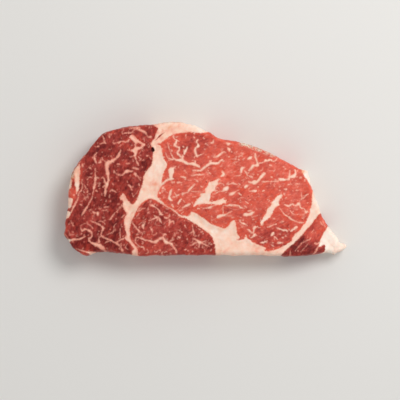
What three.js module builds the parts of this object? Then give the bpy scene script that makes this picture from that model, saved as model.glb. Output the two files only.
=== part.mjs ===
// A boneless ribeye steak from the chuck end of the rib, one slice across the muscles.
// It lies flat on its underside. Millimetres, +Z up, +X towards the thin tail of fat,
// +Y towards the fat cap, with the origin at the middle of the underside.

import * as THREE from 'three';
import { LoftGeometry } from 'three/addons/geometries/LoftGeometry.js';
import { mergeVertices } from 'three/addons/utils/BufferGeometryUtils.js';

// Driving dimensions
const LENGTH = 168.5; // blunt end to the tip of the tail
const WIDTH = 80; // fat cap to the straight lower cut
const THICKNESS = 21; // of the slice, before the muscles swell and the seams sink
const TAIL_THICKNESS = 15; // at the very tip, where the slice thins out
const TAIL_START = 38; // the slice begins to thin this far along +X
const SHOULDER_RADIUS = 3; // the rounding of the upper rim
const FOOT_RADIUS = 2; // the rounding where the rim meets the table
const RIM_BULGE = 0.8; // how far the rim swells outwards at half height
const SEAM_DEPTH = 0.9; // the fat seams lie this far below the muscles
const SEAM_HALF_WIDTH = 4.5;

// How finely the surface is divided
const POINTS_ROUND_RIM = 140; // even, half for each long side
const FOOT_STEPS = 2;
const RIM_STEPS = 4; // even, so that one ring lies at the widest height
const SHOULDER_STEPS = 4;
const TOP_STEPS = 10;
const OUTLINE_SAMPLES = 2000; // to find the blunt end along the outline
const MERGE_DISTANCE = 1e-3;

// The outline seen from above, counterclockwise from the tip of the tail. Each stretch
// keeps only the points that give it its bends.
const TAIL_TO_CAP = [
	[ 84.5, - 34.5 ], [ 81, - 32 ], [ 74.5, - 23 ], [ 69, - 15.5 ], [ 67, - 8 ], [ 63.5, 0.5 ],
	[ 61.5, 8.5 ], [ 58, 11.5 ], [ 49, 16 ], [ 40.5, 20.5 ], [ 30, 25 ], [ 19, 28.5 ], [ 8.5, 30 ],
];
const FAT_CAP = [ [ 1.5, 34.5 ], [ - 11.5, 39.5 ], [ - 22, 40 ], [ - 31.5, 38.5 ] ];
const CAP_TO_BLUNT_END = [
	[ - 48, 37 ], [ - 61.5, 33 ], [ - 68, 25.5 ], [ - 74.5, 16.5 ], [ - 78.5, 11 ], [ - 81, 5 ],
	[ - 81.5, - 8.5 ], [ - 82.5, - 17 ], [ - 84, - 26.5 ],
];
const LOWER_CUT = [
	[ - 81.5, - 31.5 ], [ - 75.5, - 37.5 ], [ - 70, - 40 ], [ - 64.5, - 38 ], [ - 48, - 38.5 ],
	[ - 39.5, - 40 ], [ - 22, - 39.5 ], [ 6, - 39.5 ], [ 37, - 39.5 ], [ 56, - 40 ], [ 69.5, - 38.5 ],
	[ 78.5, - 38.5 ],
];

// The line along the middle of the slice that the rings of the upper face draw in to, from
// the tail to the blunt end, and the place on the outline that it runs out towards there.
// The last ring stops short of it, and a narrow cap closes the face.
const SPINE = [ [ 64, - 26 ], [ 40, - 16 ], [ 0, - 6 ], [ - 30, - 5 ], [ - 58, - 7.5 ] ];
const BLUNT_END = [ - 82, - 10 ];
const LAST_RING_SHARE = 0.9; // of the way from the shoulder to the spine

// Each muscle swells above the cut face: its middle, its half lengths and its rise.
const MUSCLES = [
	{ middle: [ 16, 0 ], reach: [ 52, 38 ], rise: 2.2 }, // the large eye
	{ middle: [ - 58, 8 ], reach: [ 30, 34 ], rise: 1.4 }, // towards the blunt end
	{ middle: [ - 64, - 28 ], reach: [ 20, 14 ], rise: 0.9 }, // the lower corner
	{ middle: [ - 20, - 28 ], reach: [ 28, 17 ], rise: 1.3 }, // between the two lower seams
];

// The seams of fat between the muscles: one from the cap, which forks in two, and one
// that curves round the eye muscle's tail side.
const FORK = [ - 29, - 8 ];
const SEAMS = [
	[ [ - 29, 30 ], [ - 30, 20 ], [ - 32, 6 ], FORK ],
	[ FORK, [ - 43, - 14 ], [ - 46, - 28 ], [ - 41, - 40 ] ],
	[ FORK, [ - 18, - 17 ], [ - 3, - 23 ], [ 20, - 34 ], [ 38, - 39 ] ],
	[ [ 43, - 39 ], [ 56, - 31 ], [ 63, - 19 ], [ 64, - 4 ], [ 60, 8 ] ],
];

function vector3( [ x, y ] ) {

	return new THREE.Vector3( x, y, 0 );

}

function smoothLine( bends, closed ) {

	return new THREE.CatmullRomCurve3( bends.map( vector3 ), closed, 'centripetal' );

}

// Moves and scales the outline so that its box is exactly as long and wide as the slice.
function fitToSize( points ) {

	const box = new THREE.Box2().setFromPoints( points );
	const middle = box.getCenter( new THREE.Vector2() );
	const size = box.getSize( new THREE.Vector2() );
	const scale = new THREE.Vector2( LENGTH / size.x, WIDTH / size.y );
	return points.map( ( point ) => point.clone().sub( middle ).multiply( scale ) );

}

// A smooth closed run of points round the rim. The same number lie on the long side
// above and on the one below, so that they face each other in pairs across the spine.
function rimPoints() {

	const bends = [ ...TAIL_TO_CAP, ...FAT_CAP, ...CAP_TO_BLUNT_END, ...LOWER_CUT ];
	const curve = smoothLine( bends, true );
	const bluntEnd = vector3( BLUNT_END );
	const gaps = curve.getSpacedPoints( OUTLINE_SAMPLES ).map( ( point ) => point.distanceTo( bluntEnd ) );
	const bluntShare = gaps.indexOf( Math.min( ...gaps ) ) / OUTLINE_SAMPLES;
	const half = POINTS_ROUND_RIM / 2;
	const points = [];
	for ( let i = 0; i < POINTS_ROUND_RIM; i ++ ) {

		const share = i < half
			? bluntShare * i / half
			: bluntShare + ( 1 - bluntShare ) * ( i - half ) / half;
		const point = curve.getPointAt( share );
		points.push( new THREE.Vector2( point.x, point.y ) );

	}

	return fitToSize( points );

}

const spine = smoothLine( SPINE, false );

// The point of the spine that rim point i looks at.
function spinePoint( i ) {

	const half = POINTS_ROUND_RIM / 2;
	const point = spine.getPointAt( Math.min( i, POINTS_ROUND_RIM - i ) / half );
	return new THREE.Vector2( point.x, point.y );

}

function distanceToLine( point, bends ) {

	const segment = new THREE.Line3();
	const nearest = new THREE.Vector3();
	const here = new THREE.Vector3( point.x, point.y, 0 );
	let least = Infinity;
	for ( let i = 0; i < bends.length - 1; i ++ ) {

		segment.start.set( ...bends[ i ], 0 );
		segment.end.set( ...bends[ i + 1 ], 0 );
		segment.closestPointToPoint( here, true, nearest );
		least = Math.min( least, nearest.distanceTo( here ) );

	}

	return least;

}

// How far the slice thins towards the tip of its tail.
function tailThinning( x ) {

	const share = THREE.MathUtils.smoothstep( x, TAIL_START, LENGTH / 2 );
	return ( THICKNESS - TAIL_THICKNESS ) * share;

}

function muscleSwell( point ) {

	return Math.max( ...MUSCLES.map( ( { middle, reach, rise } ) => {

		const across = ( point.x - middle[ 0 ] ) / reach[ 0 ];
		const along = ( point.y - middle[ 1 ] ) / reach[ 1 ];
		const inside = Math.max( 0, 1 - across * across - along * along );
		return rise * inside * ( 2 - inside );

	} ) );

}

function seamSink( point ) {

	const distance = Math.min( ...SEAMS.map( ( seam ) => distanceToLine( point, seam ) ) );
	return SEAM_DEPTH * Math.exp( - ( ( distance / SEAM_HALF_WIDTH ) ** 2 ) );

}

// The height of the upper face over any point of the outline.
function topHeight( point ) {

	return THICKNESS - tailThinning( point.x ) + muscleSwell( point ) - seamSink( point );

}

// One ring of the surface: every rim point moved inwards, at a height of its own.
function ring( rim, inwards, height ) {

	return rim.map( ( point, i ) => {

		const toSpine = spinePoint( i ).sub( point );
		const place = point.clone().addScaledVector( toSpine.clone().normalize(), inwards );
		return new THREE.Vector3( place.x, place.y, height( place ) );

	} );

}

// The rounded foot, the bulging rim and the rounded shoulder, from the table upwards.
function rimRings( rim ) {

	const rings = [];
	for ( let step = 0; step < FOOT_STEPS; step ++ ) {

		const angle = Math.PI / 2 * step / FOOT_STEPS;
		const inwards = RIM_BULGE + FOOT_RADIUS * ( 1 - Math.sin( angle ) );
		rings.push( ring( rim, inwards, () => FOOT_RADIUS * ( 1 - Math.cos( angle ) ) ) );

	}

	for ( let step = 0; step <= RIM_STEPS; step ++ ) {

		const share = step / RIM_STEPS;
		const inwards = RIM_BULGE * ( 1 - Math.sin( Math.PI * share ) );
		const height = ( place ) => THREE.MathUtils.lerp(
			FOOT_RADIUS, topHeight( place ) - SHOULDER_RADIUS, share );
		rings.push( ring( rim, inwards, height ) );

	}

	for ( let step = 1; step <= SHOULDER_STEPS; step ++ ) {

		const angle = Math.PI / 2 * step / SHOULDER_STEPS;
		const inwards = RIM_BULGE + SHOULDER_RADIUS * ( 1 - Math.cos( angle ) );
		const drop = SHOULDER_RADIUS * ( 1 - Math.sin( angle ) );
		rings.push( ring( rim, inwards, ( place ) => topHeight( place ) - drop ) );

	}

	return rings;

}

// The upper face, in rings that draw in to the spine.
function topRings( rim ) {

	const edge = ring( rim, RIM_BULGE + SHOULDER_RADIUS, () => 0 );
	const rings = [];
	for ( let step = 1; step <= TOP_STEPS; step ++ ) {

		rings.push( edge.map( ( start, i ) => {

			const share = LAST_RING_SHARE * step / TOP_STEPS;
			const place = new THREE.Vector2( start.x, start.y ).lerp( spinePoint( i ), share );
			return new THREE.Vector3( place.x, place.y, topHeight( place ) );

		} ) );

	}

	return rings;

}

// The slice is skinned ring by ring, and its flat underside is a cap over the foot.
function steakGeometry() {

	const rim = rimPoints();
	const rings = [ ...rimRings( rim ), ...topRings( rim ) ];
	const skin = new LoftGeometry( rings, { capStart: true, capEnd: true } );
	const shell = new THREE.BufferGeometry();
	shell.setAttribute( 'position', skin.getAttribute( 'position' ) );
	shell.setIndex( skin.getIndex() );
	const solid = mergeVertices( shell, MERGE_DISTANCE );
	solid.computeVertexNormals();
	solid.computeBoundingBox();
	const { min, max } = solid.boundingBox;
	return solid.translate( - ( min.x + max.x ) / 2, - ( min.y + max.y ) / 2, - min.z );

}

const beef = new THREE.MeshStandardMaterial( { color: 0xb4463f, roughness: 0.45, metalness: 0 } );
const steak = new THREE.Mesh( steakGeometry(), beef );
steak.name = 'steak';

const part = new THREE.Group();
part.add( steak );

export default part;
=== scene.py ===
from itertools import product

import bmesh
import bpy
import numpy as np
from mathutils import Matrix, Vector
from mathutils.bvhtree import BVHTree
from mathutils.geometry import delaunay_2d_cdt
from mathutils.kdtree import KDTree


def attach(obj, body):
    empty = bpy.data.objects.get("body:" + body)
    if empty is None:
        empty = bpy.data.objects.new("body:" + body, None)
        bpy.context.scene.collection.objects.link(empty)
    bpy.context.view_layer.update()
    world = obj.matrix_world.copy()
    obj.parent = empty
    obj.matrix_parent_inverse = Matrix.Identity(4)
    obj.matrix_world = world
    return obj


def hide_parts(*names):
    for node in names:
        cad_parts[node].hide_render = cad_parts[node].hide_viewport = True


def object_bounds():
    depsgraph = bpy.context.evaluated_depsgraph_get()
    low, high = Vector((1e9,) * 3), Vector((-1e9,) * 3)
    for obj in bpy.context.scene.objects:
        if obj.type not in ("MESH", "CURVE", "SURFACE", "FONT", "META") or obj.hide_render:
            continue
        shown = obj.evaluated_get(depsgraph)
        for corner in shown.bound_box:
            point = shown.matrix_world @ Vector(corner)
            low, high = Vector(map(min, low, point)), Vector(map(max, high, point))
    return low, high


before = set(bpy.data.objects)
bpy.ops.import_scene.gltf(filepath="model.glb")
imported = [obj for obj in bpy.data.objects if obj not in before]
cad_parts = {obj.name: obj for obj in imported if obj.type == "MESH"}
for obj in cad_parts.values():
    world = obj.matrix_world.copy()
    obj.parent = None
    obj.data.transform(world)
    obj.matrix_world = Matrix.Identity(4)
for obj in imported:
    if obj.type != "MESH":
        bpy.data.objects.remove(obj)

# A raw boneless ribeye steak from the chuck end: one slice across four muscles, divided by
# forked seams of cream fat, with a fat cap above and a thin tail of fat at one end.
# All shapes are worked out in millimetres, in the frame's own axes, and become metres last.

cad_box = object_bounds()

MM = 0.001  # metres in a millimetre
HALF_LENGTH, HALF_WIDTH = (round(cad_box[1][axis] / MM) for axis in (0, 1))  # of the slice

# The slice's skin: its rings round the rim and its sheets of small triangles
RIM_POINTS = 760
RIM_HEIGHT = 9.7  # where the rim is widest
RIM_BULGE = 0.8  # how far the rim swells outwards at half height
SHOULDER_RADIUS = 2.2  # the rounding of the upper rim
FOOT_RADIUS = 1.8  # the rounding where the rim meets the table
FOOT_STEPS = 3
SIDE_STEPS = 17
SHOULDER_STEPS = 3
SHOULDER_TURN = np.pi / 4  # the rings stop here, and the upper sheet takes over
CUT_FACE_MESH = 0.43  # spacing of the points on the upper face
UNDERSIDE_MESH = 1.3
BESIDE_RING = 0.6  # of that spacing is left free between the sheet's points and its ring
BEYOND_RIM = 2  # how far past the slice the pattern of points starts
JOINED = 0.01  # corners of the frame's solid that are closer than this are one

# How the rim is evened out, in rim points
EVEN_OUTLINE = 1.6
EVEN_INWARD = 4
EVEN_ROOM = 3

# Where the rim turns sharply, the rings draw in less
TURN_SPAN = 6  # rim points each way, over which the turn is measured
LEAST_TURN = 1e-3  # radians. Less than this counts as straight
RADIUS_SHARE = 0.75  # of the turn's radius is room for the rings
LEAST_ROOM = 0.25  # of their full way in
ROOM_SPREAD = 8  # rim points over which the room opens again
ROOM_GAIN = 0.04  # from each of them to the next

# The broad swell of the upper face
LEVEL_EDGE = 6.0  # it is measured at least this far inside the rim
LEVEL_SPAN = (80, 40)  # brings x and y to about -1 to 1
LEVEL_ORDER = 4
SOUNDING_GAP = 3
ABOVE_ALL = 60  # the soundings start here and go down

# What the knife and the muscles leave on the cut face: depths and heights
SEAM_SINK = 0.45
GROOVE_DEPTH = 0.16  # along the edge of a seam
GROOVE_HALF = 0.45
VEIN_RISE = 0.12
PIT_DEPTH = 1.2
SLIT_DEPTH = 0.12
WAX_RISE = 0.1  # of the soft lumps in the fat
WAX_LENGTH = 2.6
WAX_SEED = 25

# Sets of random waves, each as its wavelength, its height and a seed of its own
KNIFE_WAVES = [(3.4, 0.22, 11), (1.5, 0.14, 12)]
FACE_SWELL = [(13, 0.35, 21), (5, 0.16, 22)]
LEAN_GRAIN = [(1.7, 0.09, 23), (1.0, 0.07, 24)]
TONE_WAVES = [(7, 0.07, 51), (3, 0.06, 52)]
SKIN_WAVES = [(9, 1, 61), (3, 0.5, 62)]

# The side wall: upright ridges left by the fibres, and a broader swell
SIDE_FADE = 3.0  # both fade out this close to the foot and the shoulder
RIDGE_HEIGHT = 0.16
RIDGE_WIDTH = 1.6
RIDGE_SHAPE = (1, 1, 0.25)  # four times as tall as wide
RIDGE_SEED = 31
SWELL_HEIGHT = 0.3
SWELL_WIDTH = 6
SWELL_SEED = 32

# How the marbling moves sideways on its way down. Each wandering is its wavelength, its reach
# and a seed of its own.
DRIFT_FROM = 0.25  # of the way down
DRIFT = (2.5, 1.5)  # at the underside
DRIFT_WANDER = (17, 2.2, 41)
RAGGED_EDGE = (2.4, 0.18, 43)
TORN_EDGE = (1.1, 0.14, 45)
DRAWN_OUT = 0.2  # the material's patterns change this much as fast down the slice

# The plan that the marbling is laid out on, seen from above
PLAN_CELL = 0.2
PLAN_MARGIN = 6.0
CLEAR_OF_FAT = -3.0  # depth that stands for no fat near
FULL_DEPTH = 6.0  # depth inside a patch of fat is measured this far from its edge
CORNER_SHARE = 0.2  # of each side of an outline, cut off at its corners
STROKE_STEP = 0.25  # spacing of the points along a stroke of fat

# How a vein is uneven
VEIN_WANDER = 0.1
WANDER_LENGTH = 2.6
VEIN_SWELLING = 0.28  # of its width
SWELLING_LENGTH = 1.8
VEIN_ROUGHNESS = 0.1
ROUGHNESS_LENGTH = 0.9
THINNEST_VEIN = 0.12
TIP_WIDTH, TIP_GAIN = 0.7, 0.3  # of a thin vein's width: at its tips, and gained from there
TAPERS = 4  # the gain takes one part in this many of its length, from each end
VEIN_SEED = 400  # of the first vein
SEEDS_EACH = 10  # from one vein to the next

# The side shoots of a thin vein. Ranges are of radians and millimetres
TWIG_SPACING = 3.0
TWIG_TURN = (0.4, 1.4)
TWIG_LENGTH = (0.4, 1.5)  # past the vein's edge
TWIG_HALF = (0.16, 0.3)
TWIG_BEND = 0.25
SHORE_HALF = 0.3  # a broad vein's shoots start on its outline, as from a thin vein this wide
TWIG_SEED = 17

# The flecks in each muscle
THREAD_SHARE = 0.08  # of the flecks are long thin threads
THREAD_LENGTH = (3, 7)
THREAD_HALF = (0.1, 0.2)
FLECK_LENGTHS = (-0.2, 0.6)  # middle and spread of the logarithm, as a share of the muscle's own
FLECK_HALF = (0.16, 0.5)
FLECK_BEND = 0.15
FLECK_TAPER = 0.6  # of its width is lost by its far end
GRAIN_SPREAD = 34  # degrees either way of the grain
CLUSTER_LENGTH = 8  # flecks are broader in some places than in others, about this far apart
CLUSTER_GAIN = 0.4
CLUSTER_SEED = 81
FLECK_SEED = 29

# Fat between and in the muscles, each stretch by the corners (x, y) of its outline. Where it
# reaches the rim the outline runs on beyond, so that the fat goes round the edge.
PATCHES = {
    "fat cap and great seams": [
        (-31.5, 47), (-31.3, 38), (-28.7, 36.5), (-27.8, 35.6), (-29.3, 32.4), (-30, 29.9), (-32.4, 27),
        (-32.4, 26), (-30.6, 23.1), (-31.2, 16.7), (-31.9, 13.7), (-35.8, 8.9), (-36.6, 7.4), (-36.8, 4.5),
        (-37.6, 1.4), (-38.5, -0.7), (-39, -3.1), (-41.3, -7.8), (-43, -9.2), (-44, -8.8), (-44.9, -7.3),
        (-46.4, -6.1), (-46.9, -4.1), (-48.4, -2.4), (-50.3, -4.1), (-50.7, -5.5), (-48.4, -7.8),
        (-49.1, -9.7), (-46.4, -14.7), (-47.8, -17.3), (-48.1, -19.8), (-46.6, -27.1), (-47.8, -29.1),
        (-44, -32.3), (-42.5, -34.2), (-42, -35.5), (-43.4, -36.7), (-43.8, -47), (-39.1, -47),
        (-39.8, -36.4), (-40.5, -34.5), (-43.4, -31.1), (-44.4, -29.1), (-44.7, -23.2), (-44, -20.2),
        (-40, -11), (-36.1, -7), (-33.7, -5.8), (-32.7, -5.7), (-30.2, -6.3), (-17.5, -13.7), (-16, -15.8),
        (-11.6, -17.1), (-9.1, -18.5), (-4.7, -21.7), (-1.8, -23.2), (3.6, -27.6), (5.1, -31.1),
        (5.8, -34), (6.4, -47), (43.8, -47), (44.3, -38.6), (51.8, -32.2), (55.5, -28.5), (58.2, -25.2),
        (61.4, -22.1), (64.1, -18.8), (65.7, -16.2), (67.3, -14.5), (70.8, -13.9), (70.2, -6.5),
        (66.5, -0.6), (62.7, -1), (62.8, -7.6), (61.4, -14.5), (58.8, -20.4), (57.1, -21.5), (56.6, -23.4),
        (51.8, -27.4), (50.7, -30.4), (48.6, -32.2), (43.2, -35.1), (37.9, -36.6), (34.4, -36.2),
        (35.8, -34.6), (32, -33.3), (27.2, -31.1), (26.4, -29.8), (24.5, -29.5), (23.7, -26.3),
        (23.1, -28.9), (22.4, -29.5), (20.3, -30.1), (17.8, -29.8), (20, -28.9), (19.7, -27.4),
        (18.5, -26.7), (18.1, -22.2), (17.1, -17.6), (14.4, -20), (13.4, -21.7), (11.9, -23.2),
        (10, -23.1), (2.4, -20.2), (-1.8, -16.6), (-8.5, -12.9), (-9.1, -16.2), (-14, -15.4), (-16, -14.7),
        (-16.7, -13.2), (-23.4, -9.7), (-27.8, -5.5), (-28.4, -4.1), (-28.3, -2.6), (-25.3, 2.3),
        (-26, 4.5), (-25.6, 6.9), (-22.8, 13.3), (-22.4, 15), (-25.1, 18.2), (-26, 25.6), (-28.8, 26.5),
        (-25.9, 27.2), (-22.8, 29.7), (-20.4, 31.4), (-17.5, 32.4), (-14.6, 33), (-9.6, 33.3), (0.1, 33),
        (1.7, 33.7), (3.8, 38.1), (4.5, 47),
    ],
    "wedge at the blunt end": [
        (-73.8, 15.2), (-77.8, 10.8), (-77.8, 9.3), (-77, 6.4), (-76.3, -0.7), (-75.5, -2.4),
        (-74.5, -0.5), (-74.1, 3.5), (-73.6, 11.3),
    ],
    "tail fat": [
        (72.3, -21.8), (68.1, -29.5), (67, -34.1), (68.3, -34.1), (69.9, -32.7), (71.3, -33.3),
        (71.3, -35.9), (70.5, -37), (71.7, -43), (91, -39.5), (91, -28.9), (76.7, -20.7),
    ],
    "great vein of the eye": [
        (8.9, 5.7), (7.2, 4.6), (7.6, 2.6), (5.7, 1.3), (5.7, -1.1), (3.1, -2.4), (2.7, -5.1), (2.1, -6.9),
        (3.3, -7.7), (5.2, -7.2), (8.2, -6.3), (10.8, -5.1), (10.6, -6.2), (12.8, -6.8), (11.5, -7.6),
        (12.3, -8.6), (10.2, -8.3), (9, -9.1), (6.6, -9.6), (4.6, -8.6), (1.1, -8.9), (-1.5, -8.6),
        (-3.3, -9), (-5.5, -9.3), (-7.4, -10.6), (-7.1, -8.9), (-4.6, -5.8), (-2.7, -4.3), (-3.4, -2.4),
        (0.1, -2.5), (-0.3, 0.3), (1.3, 1.7), (1.7, 3.9), (4.3, 4.3), (7.7, 6.1),
    ],
    "fork in the blunt end, over its hole": [
        (-45.2, 30.5), (-44.4, 31.8), (-42.2, 31.6), (-40.6, 30), (-38.8, 28.3), (-37, 27.1), (-35.3, 26),
        (-36.6, 24.6), (-37.4, 24.3), (-37.7, 25), (-37.6, 26.1), (-39.2, 27.3), (-40.8, 26.7),
        (-41, 25.3), (-41.3, 24.2), (-41.7, 24.7), (-41.4, 26.2), (-42.5, 28.1), (-43.9, 29.4),
    ],
    "fork in the blunt end, under its hole": [
        (-41.9, 26.6), (-41.1, 26.2), (-40.6, 24.9), (-39.3, 24.5), (-38, 24.9), (-37.5, 26.2),
        (-36.7, 26.8), (-35.5, 26), (-36.6, 24.6), (-38, 23.9), (-39.9, 22.4), (-40.5, 20.8), (-41, 19.1),
        (-41.6, 19.5), (-42, 21.2), (-43.5, 22), (-44.3, 22.6), (-42.5, 23.5), (-41.6, 24.5),
    ],
    "head of the great vein": [
        (9.3, 11.3), (10.7, 10.3), (11.7, 8.6), (10.4, 7.4), (8.3, 7.1), (9.8, 8.7),
    ],
    "far vein of the eye": [
        (45.4, -3.3), (44.3, -5.5), (42.7, -7.6), (43.5, -9.5), (41.1, -10.8), (40, -12.1), (39.2, -14.5),
        (37.9, -16.7), (34.1, -19.4), (33.4, -21.8), (32.3, -21.5), (32.3, -19.1), (33.6, -17.8),
        (35.8, -13.5), (36.3, -11.6), (37.9, -10.5), (38.9, -8.7), (38.4, -7.6), (40.5, -6.8),
        (41.4, -4.7), (43.5, -3.3),
    ],
    "knob over the curved seam": [
        (56.7, 12), (59.1, 13), (62.6, 11.4), (64.9, 5.2), (66.1, 0.9), (62.6, 1), (57.1, 9.3),
    ],
    "top of the rim fat at the blunt end": [
        (-86.8, 6.7), (-78.9, 6.4), (-78.5, 4), (-78.9, 0.8), (-79.8, -0.4), (-86.8, -0.7),
    ],
    "middle of the rim fat at the blunt end": [
        (-86.8, -4.9), (-79.7, -5.1), (-77.7, -5.7), (-78.9, -10.2), (-80, -11.4), (-86.8, -11.5),
    ],
    "white tip of the lower corner": [
        (-84, -33), (-81, -29.7), (-79.4, -29.5), (-78.8, -30.1), (-80.6, -31.2), (-83, -34),
    ],
    "white nub under the lower corner": [
        (-70.3, -36.9), (-67.6, -36.8), (-65.3, -37), (-63.8, -38), (-64, -45), (-67.6, -45),
        (-68.2, -38.6),
    ],
    "foot of the rim fat at the blunt end": [
        (-86.8, -13), (-80.1, -13), (-79.4, -13.7), (-79.8, -15.7), (-81, -17.7), (-86.8, -18.3),
    ],
}

# The two large veins of the eye among them, which throw side shoots as the thin veins do
VEIN_PATCHES = ("great vein of the eye", "far vein of the eye")

# Thin even veins inside each muscle: the half width, then the points (x, y) that it runs through. The first
# in the blunt end is painted highlight, a pale line along the upper left rim.
VEINS = {
    "blunt end": [
        # Painted highlight: a pale line along the upper left rim, where the edge catches the light
        (0.4, [(-61.5, 32.4), (-63.8, 30.5), (-66.2, 27.6), (-69.1, 23.1), (-71.2, 19.6)]),
        (0.29, [(-58, 15.6), (-60.6, 17), (-62.7, 16.6)]), (0.35, [(-64.8, 12), (-64.8, 8.3)]),
        (0.41, [(-69.5, 5.5), (-68.1, 7), (-66.5, 6.3)]), (0.41, [(-40.9, 8.5), (-40, 7.2), (-38.3, 5)]),
        (0.35, [(-62.2, 26.5), (-59.8, 27.1)]), (0.59, [(-56.8, 31.6), (-56.4, 30.3)]),
        (0.41, [(-63.6, 25), (-62.9, 25.1)]), (0.53, [(-72.4, 14.4), (-71.9, 13)]),
        (0.47, [(-68.1, 12.7), (-67.4, 12.3)]), (0.47, [(-52.1, 14.6), (-50.5, 14.3)]),
        (0.41, [(-48.9, 32.5), (-46.5, 33), (-44, 33.1)]), (0.29, [(-36.4, 30.5), (-36, 28.1)]),
        (0.47, [(-34.9, 19.6), (-33.8, 19.7)]), (0.35, [(-37.1, 16.6), (-36.2, 17.3)]),
        (0.35, [(-32.9, 18.6), (-32.2, 17.7)]), (0.35, [(-39.4, 19.1), (-38.3, 17.9), (-38.7, 16.7)]),
        (0.35, [(-37.6, 22.7), (-36.7, 22.1)]), (0.35, [(-36.6, 24.1), (-37.7, 23.4)]),
        (0.35, [(-71, 2), (-70.1, 0.3)]), (0.35, [(-71.9, -1), (-71.1, -2.1)]),
        (0.41, [(-69.4, -0.5), (-69.6, -2.2)]), (0.29, [(-72.5, 5.6), (-72.9, 2.9)]),
        (0.35, [(-62.5, 3.7), (-62.9, 1.7)]), (0.35, [(-54.9, 3.5), (-54.1, 2.4)]),
        (0.53, [(-73.9, -9.1), (-73.1, -9.4)]), (0.35, [(-60.9, -12.5), (-57.6, -12.3)]),
        (0.71, [(-66.2, -13.5), (-64.8, -14.4)]), (0.65, [(-63.6, -13.7), (-63.4, -15.5)]),
        (0.35, [(-59.5, -10.8), (-57, -10.3)]), (0.35, [(-68.8, -12.3), (-66.8, -12.2)]),
        (0.29, [(-47.5, -15.1), (-49.5, -17.2)]), (0.35, [(-52.4, -20.1), (-53.5, -21.7), (-54, -23.5)]),
        (0.35, [(-50, -23.2), (-50.4, -27), (-50, -29.1)]),
        (0.24, [(-53, -23.9), (-55.4, -25.8), (-58.3, -26.9)]), (0.35, [(-43.3, -2.7), (-42.3, -4.7)]),
        (0.35, [(-39.5, 3.1), (-38.8, 1.9)]),
    ],
    "lower corner": [
        (0.3, [(-80.1, -25.7), (-79.1, -27), (-77.1, -26.8)]), (0.3, [(-79.7, -1.3), (-79, -2.8)]),
        (0.28, [(-77.8, -3.2), (-77, -4.2)]), (0.26, [(-80.9, -24), (-80.2, -25)]),
        (0.24, [(-78.4, -24.8), (-77.4, -25.6)]), (0.28, [(-76.2, -27.6), (-74.9, -27.8)]),
        (0.35, [(-45.8, -32.2), (-47, -34.4), (-45.7, -35.6)]),
    ],
    "lower muscle": [
        (0.35, [(-4.3, -23.5), (-2.8, -24.2)]), (0.47, [(-3, -31.7), (-0.7, -32.5), (1.8, -33.6)]),
        (0.35, [(-18.2, -25.9), (-17.9, -27.9)]), (0.35, [(-12.4, -21.2), (-11.5, -22.7)]),
        (0.29, [(-16.9, -23.8), (-15, -24.5)]), (0.29, [(-34.4, -13.8), (-32.7, -13.1)]),
        (0.29, [(-40.4, -16.1), (-39.1, -14.3)]), (0.35, [(-24.3, -37.4), (-22.9, -36.5)]),
    ],
    "eye": [
        (0.35, [(-11.7, 32.1), (-11.6, 30.1)]), (0.35, [(-23.5, 21.2), (-22.1, 17.9)]),
        (0.24, [(-22.4, 27.3), (-21.5, 24), (-20.8, 21.7)]), (0.35, [(-13.1, -6.8), (-12.1, -7.8)]),
        (0.24, [(-7.7, -4.7), (-5.4, -4.3)]), (0.47, [(-24.9, -0.2), (-25, 1.3)]),
        (0.24, [(-18.2, -2.2), (-16.9, -4.8)]), (0.35, [(-13.3, 25.2), (-12.6, 24.6)]),
        (0.35, [(0.4, 26.7), (0.7, 25.8)]), (0.47, [(2, 9.3), (3, 8.9)]),
        (0.35, [(-1.6, 30.1), (-0.7, 29.6)]), (0.47, [(30.6, 1.5), (31.2, 0.7)]),
        (0.29, [(22.4, -9.4), (24.1, -10.9)]), (0.29, [(23.4, -7.4), (25.2, -8.5)]),
        (0.35, [(29.7, -11.2), (30.1, -12.1)]), (0.35, [(24.7, -13), (27, -12.7)]),
        (0.24, [(15.8, 15.2), (19.3, 16.2)]), (0.47, [(45.7, 13.1), (46.4, 13.2)]),
        (0.41, [(37.5, 13.8), (38.5, 13.7)]), (0.47, [(38.6, 7.2), (39.2, 6.7)]),
        (0.41, [(52.8, 3), (55.2, 3)]), (0.41, [(43.2, -0.7), (43.9, -1)]),
        (0.41, [(33.4, -1.1), (34.5, -1.1)]), (0.35, [(39.8, 2.7), (40.7, 1.3)]),
        (0.47, [(46.1, -3), (46.8, -2.7)]), (0.41, [(46.7, -5.4), (47.5, -5.1)]),
        (0.29, [(49.7, -12.7), (50.8, -14.1), (52.2, -15.1)]), (0.29, [(56.8, -17), (57.4, -17.5)]),
        (0.71, [(39.9, -25.8), (38.6, -27.4)]), (0.41, [(40.4, -28.1), (42.5, -29.8)]),
        (0.71, [(32.1, -31.5), (34.2, -31.4)]), (0.47, [(34, -31.4), (36.5, -30.2)]),
        (0.47, [(42.2, -31.8), (45.8, -31.4)]), (0.53, [(45.1, -28.5), (45.8, -28.7)]),
        (0.29, [(38.5, -32.7), (40.2, -33.7)]), (0.24, [(43.5, -19.5), (46.1, -19)]),
        (0.29, [(58.2, 5.6), (58.6, 4.6)]), (0.29, [(52.7, -0.5), (54.6, -0.9)]),
        (0.24, [(48.2, 2.5), (50.2, 2.7)]),
    ],
    "tail muscle": [
        (0.35, [(70.1, -21.2), (70.8, -22.3)]), (0.24, [(62.4, -26.3), (63.9, -24.1)]),
    ],
}
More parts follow.
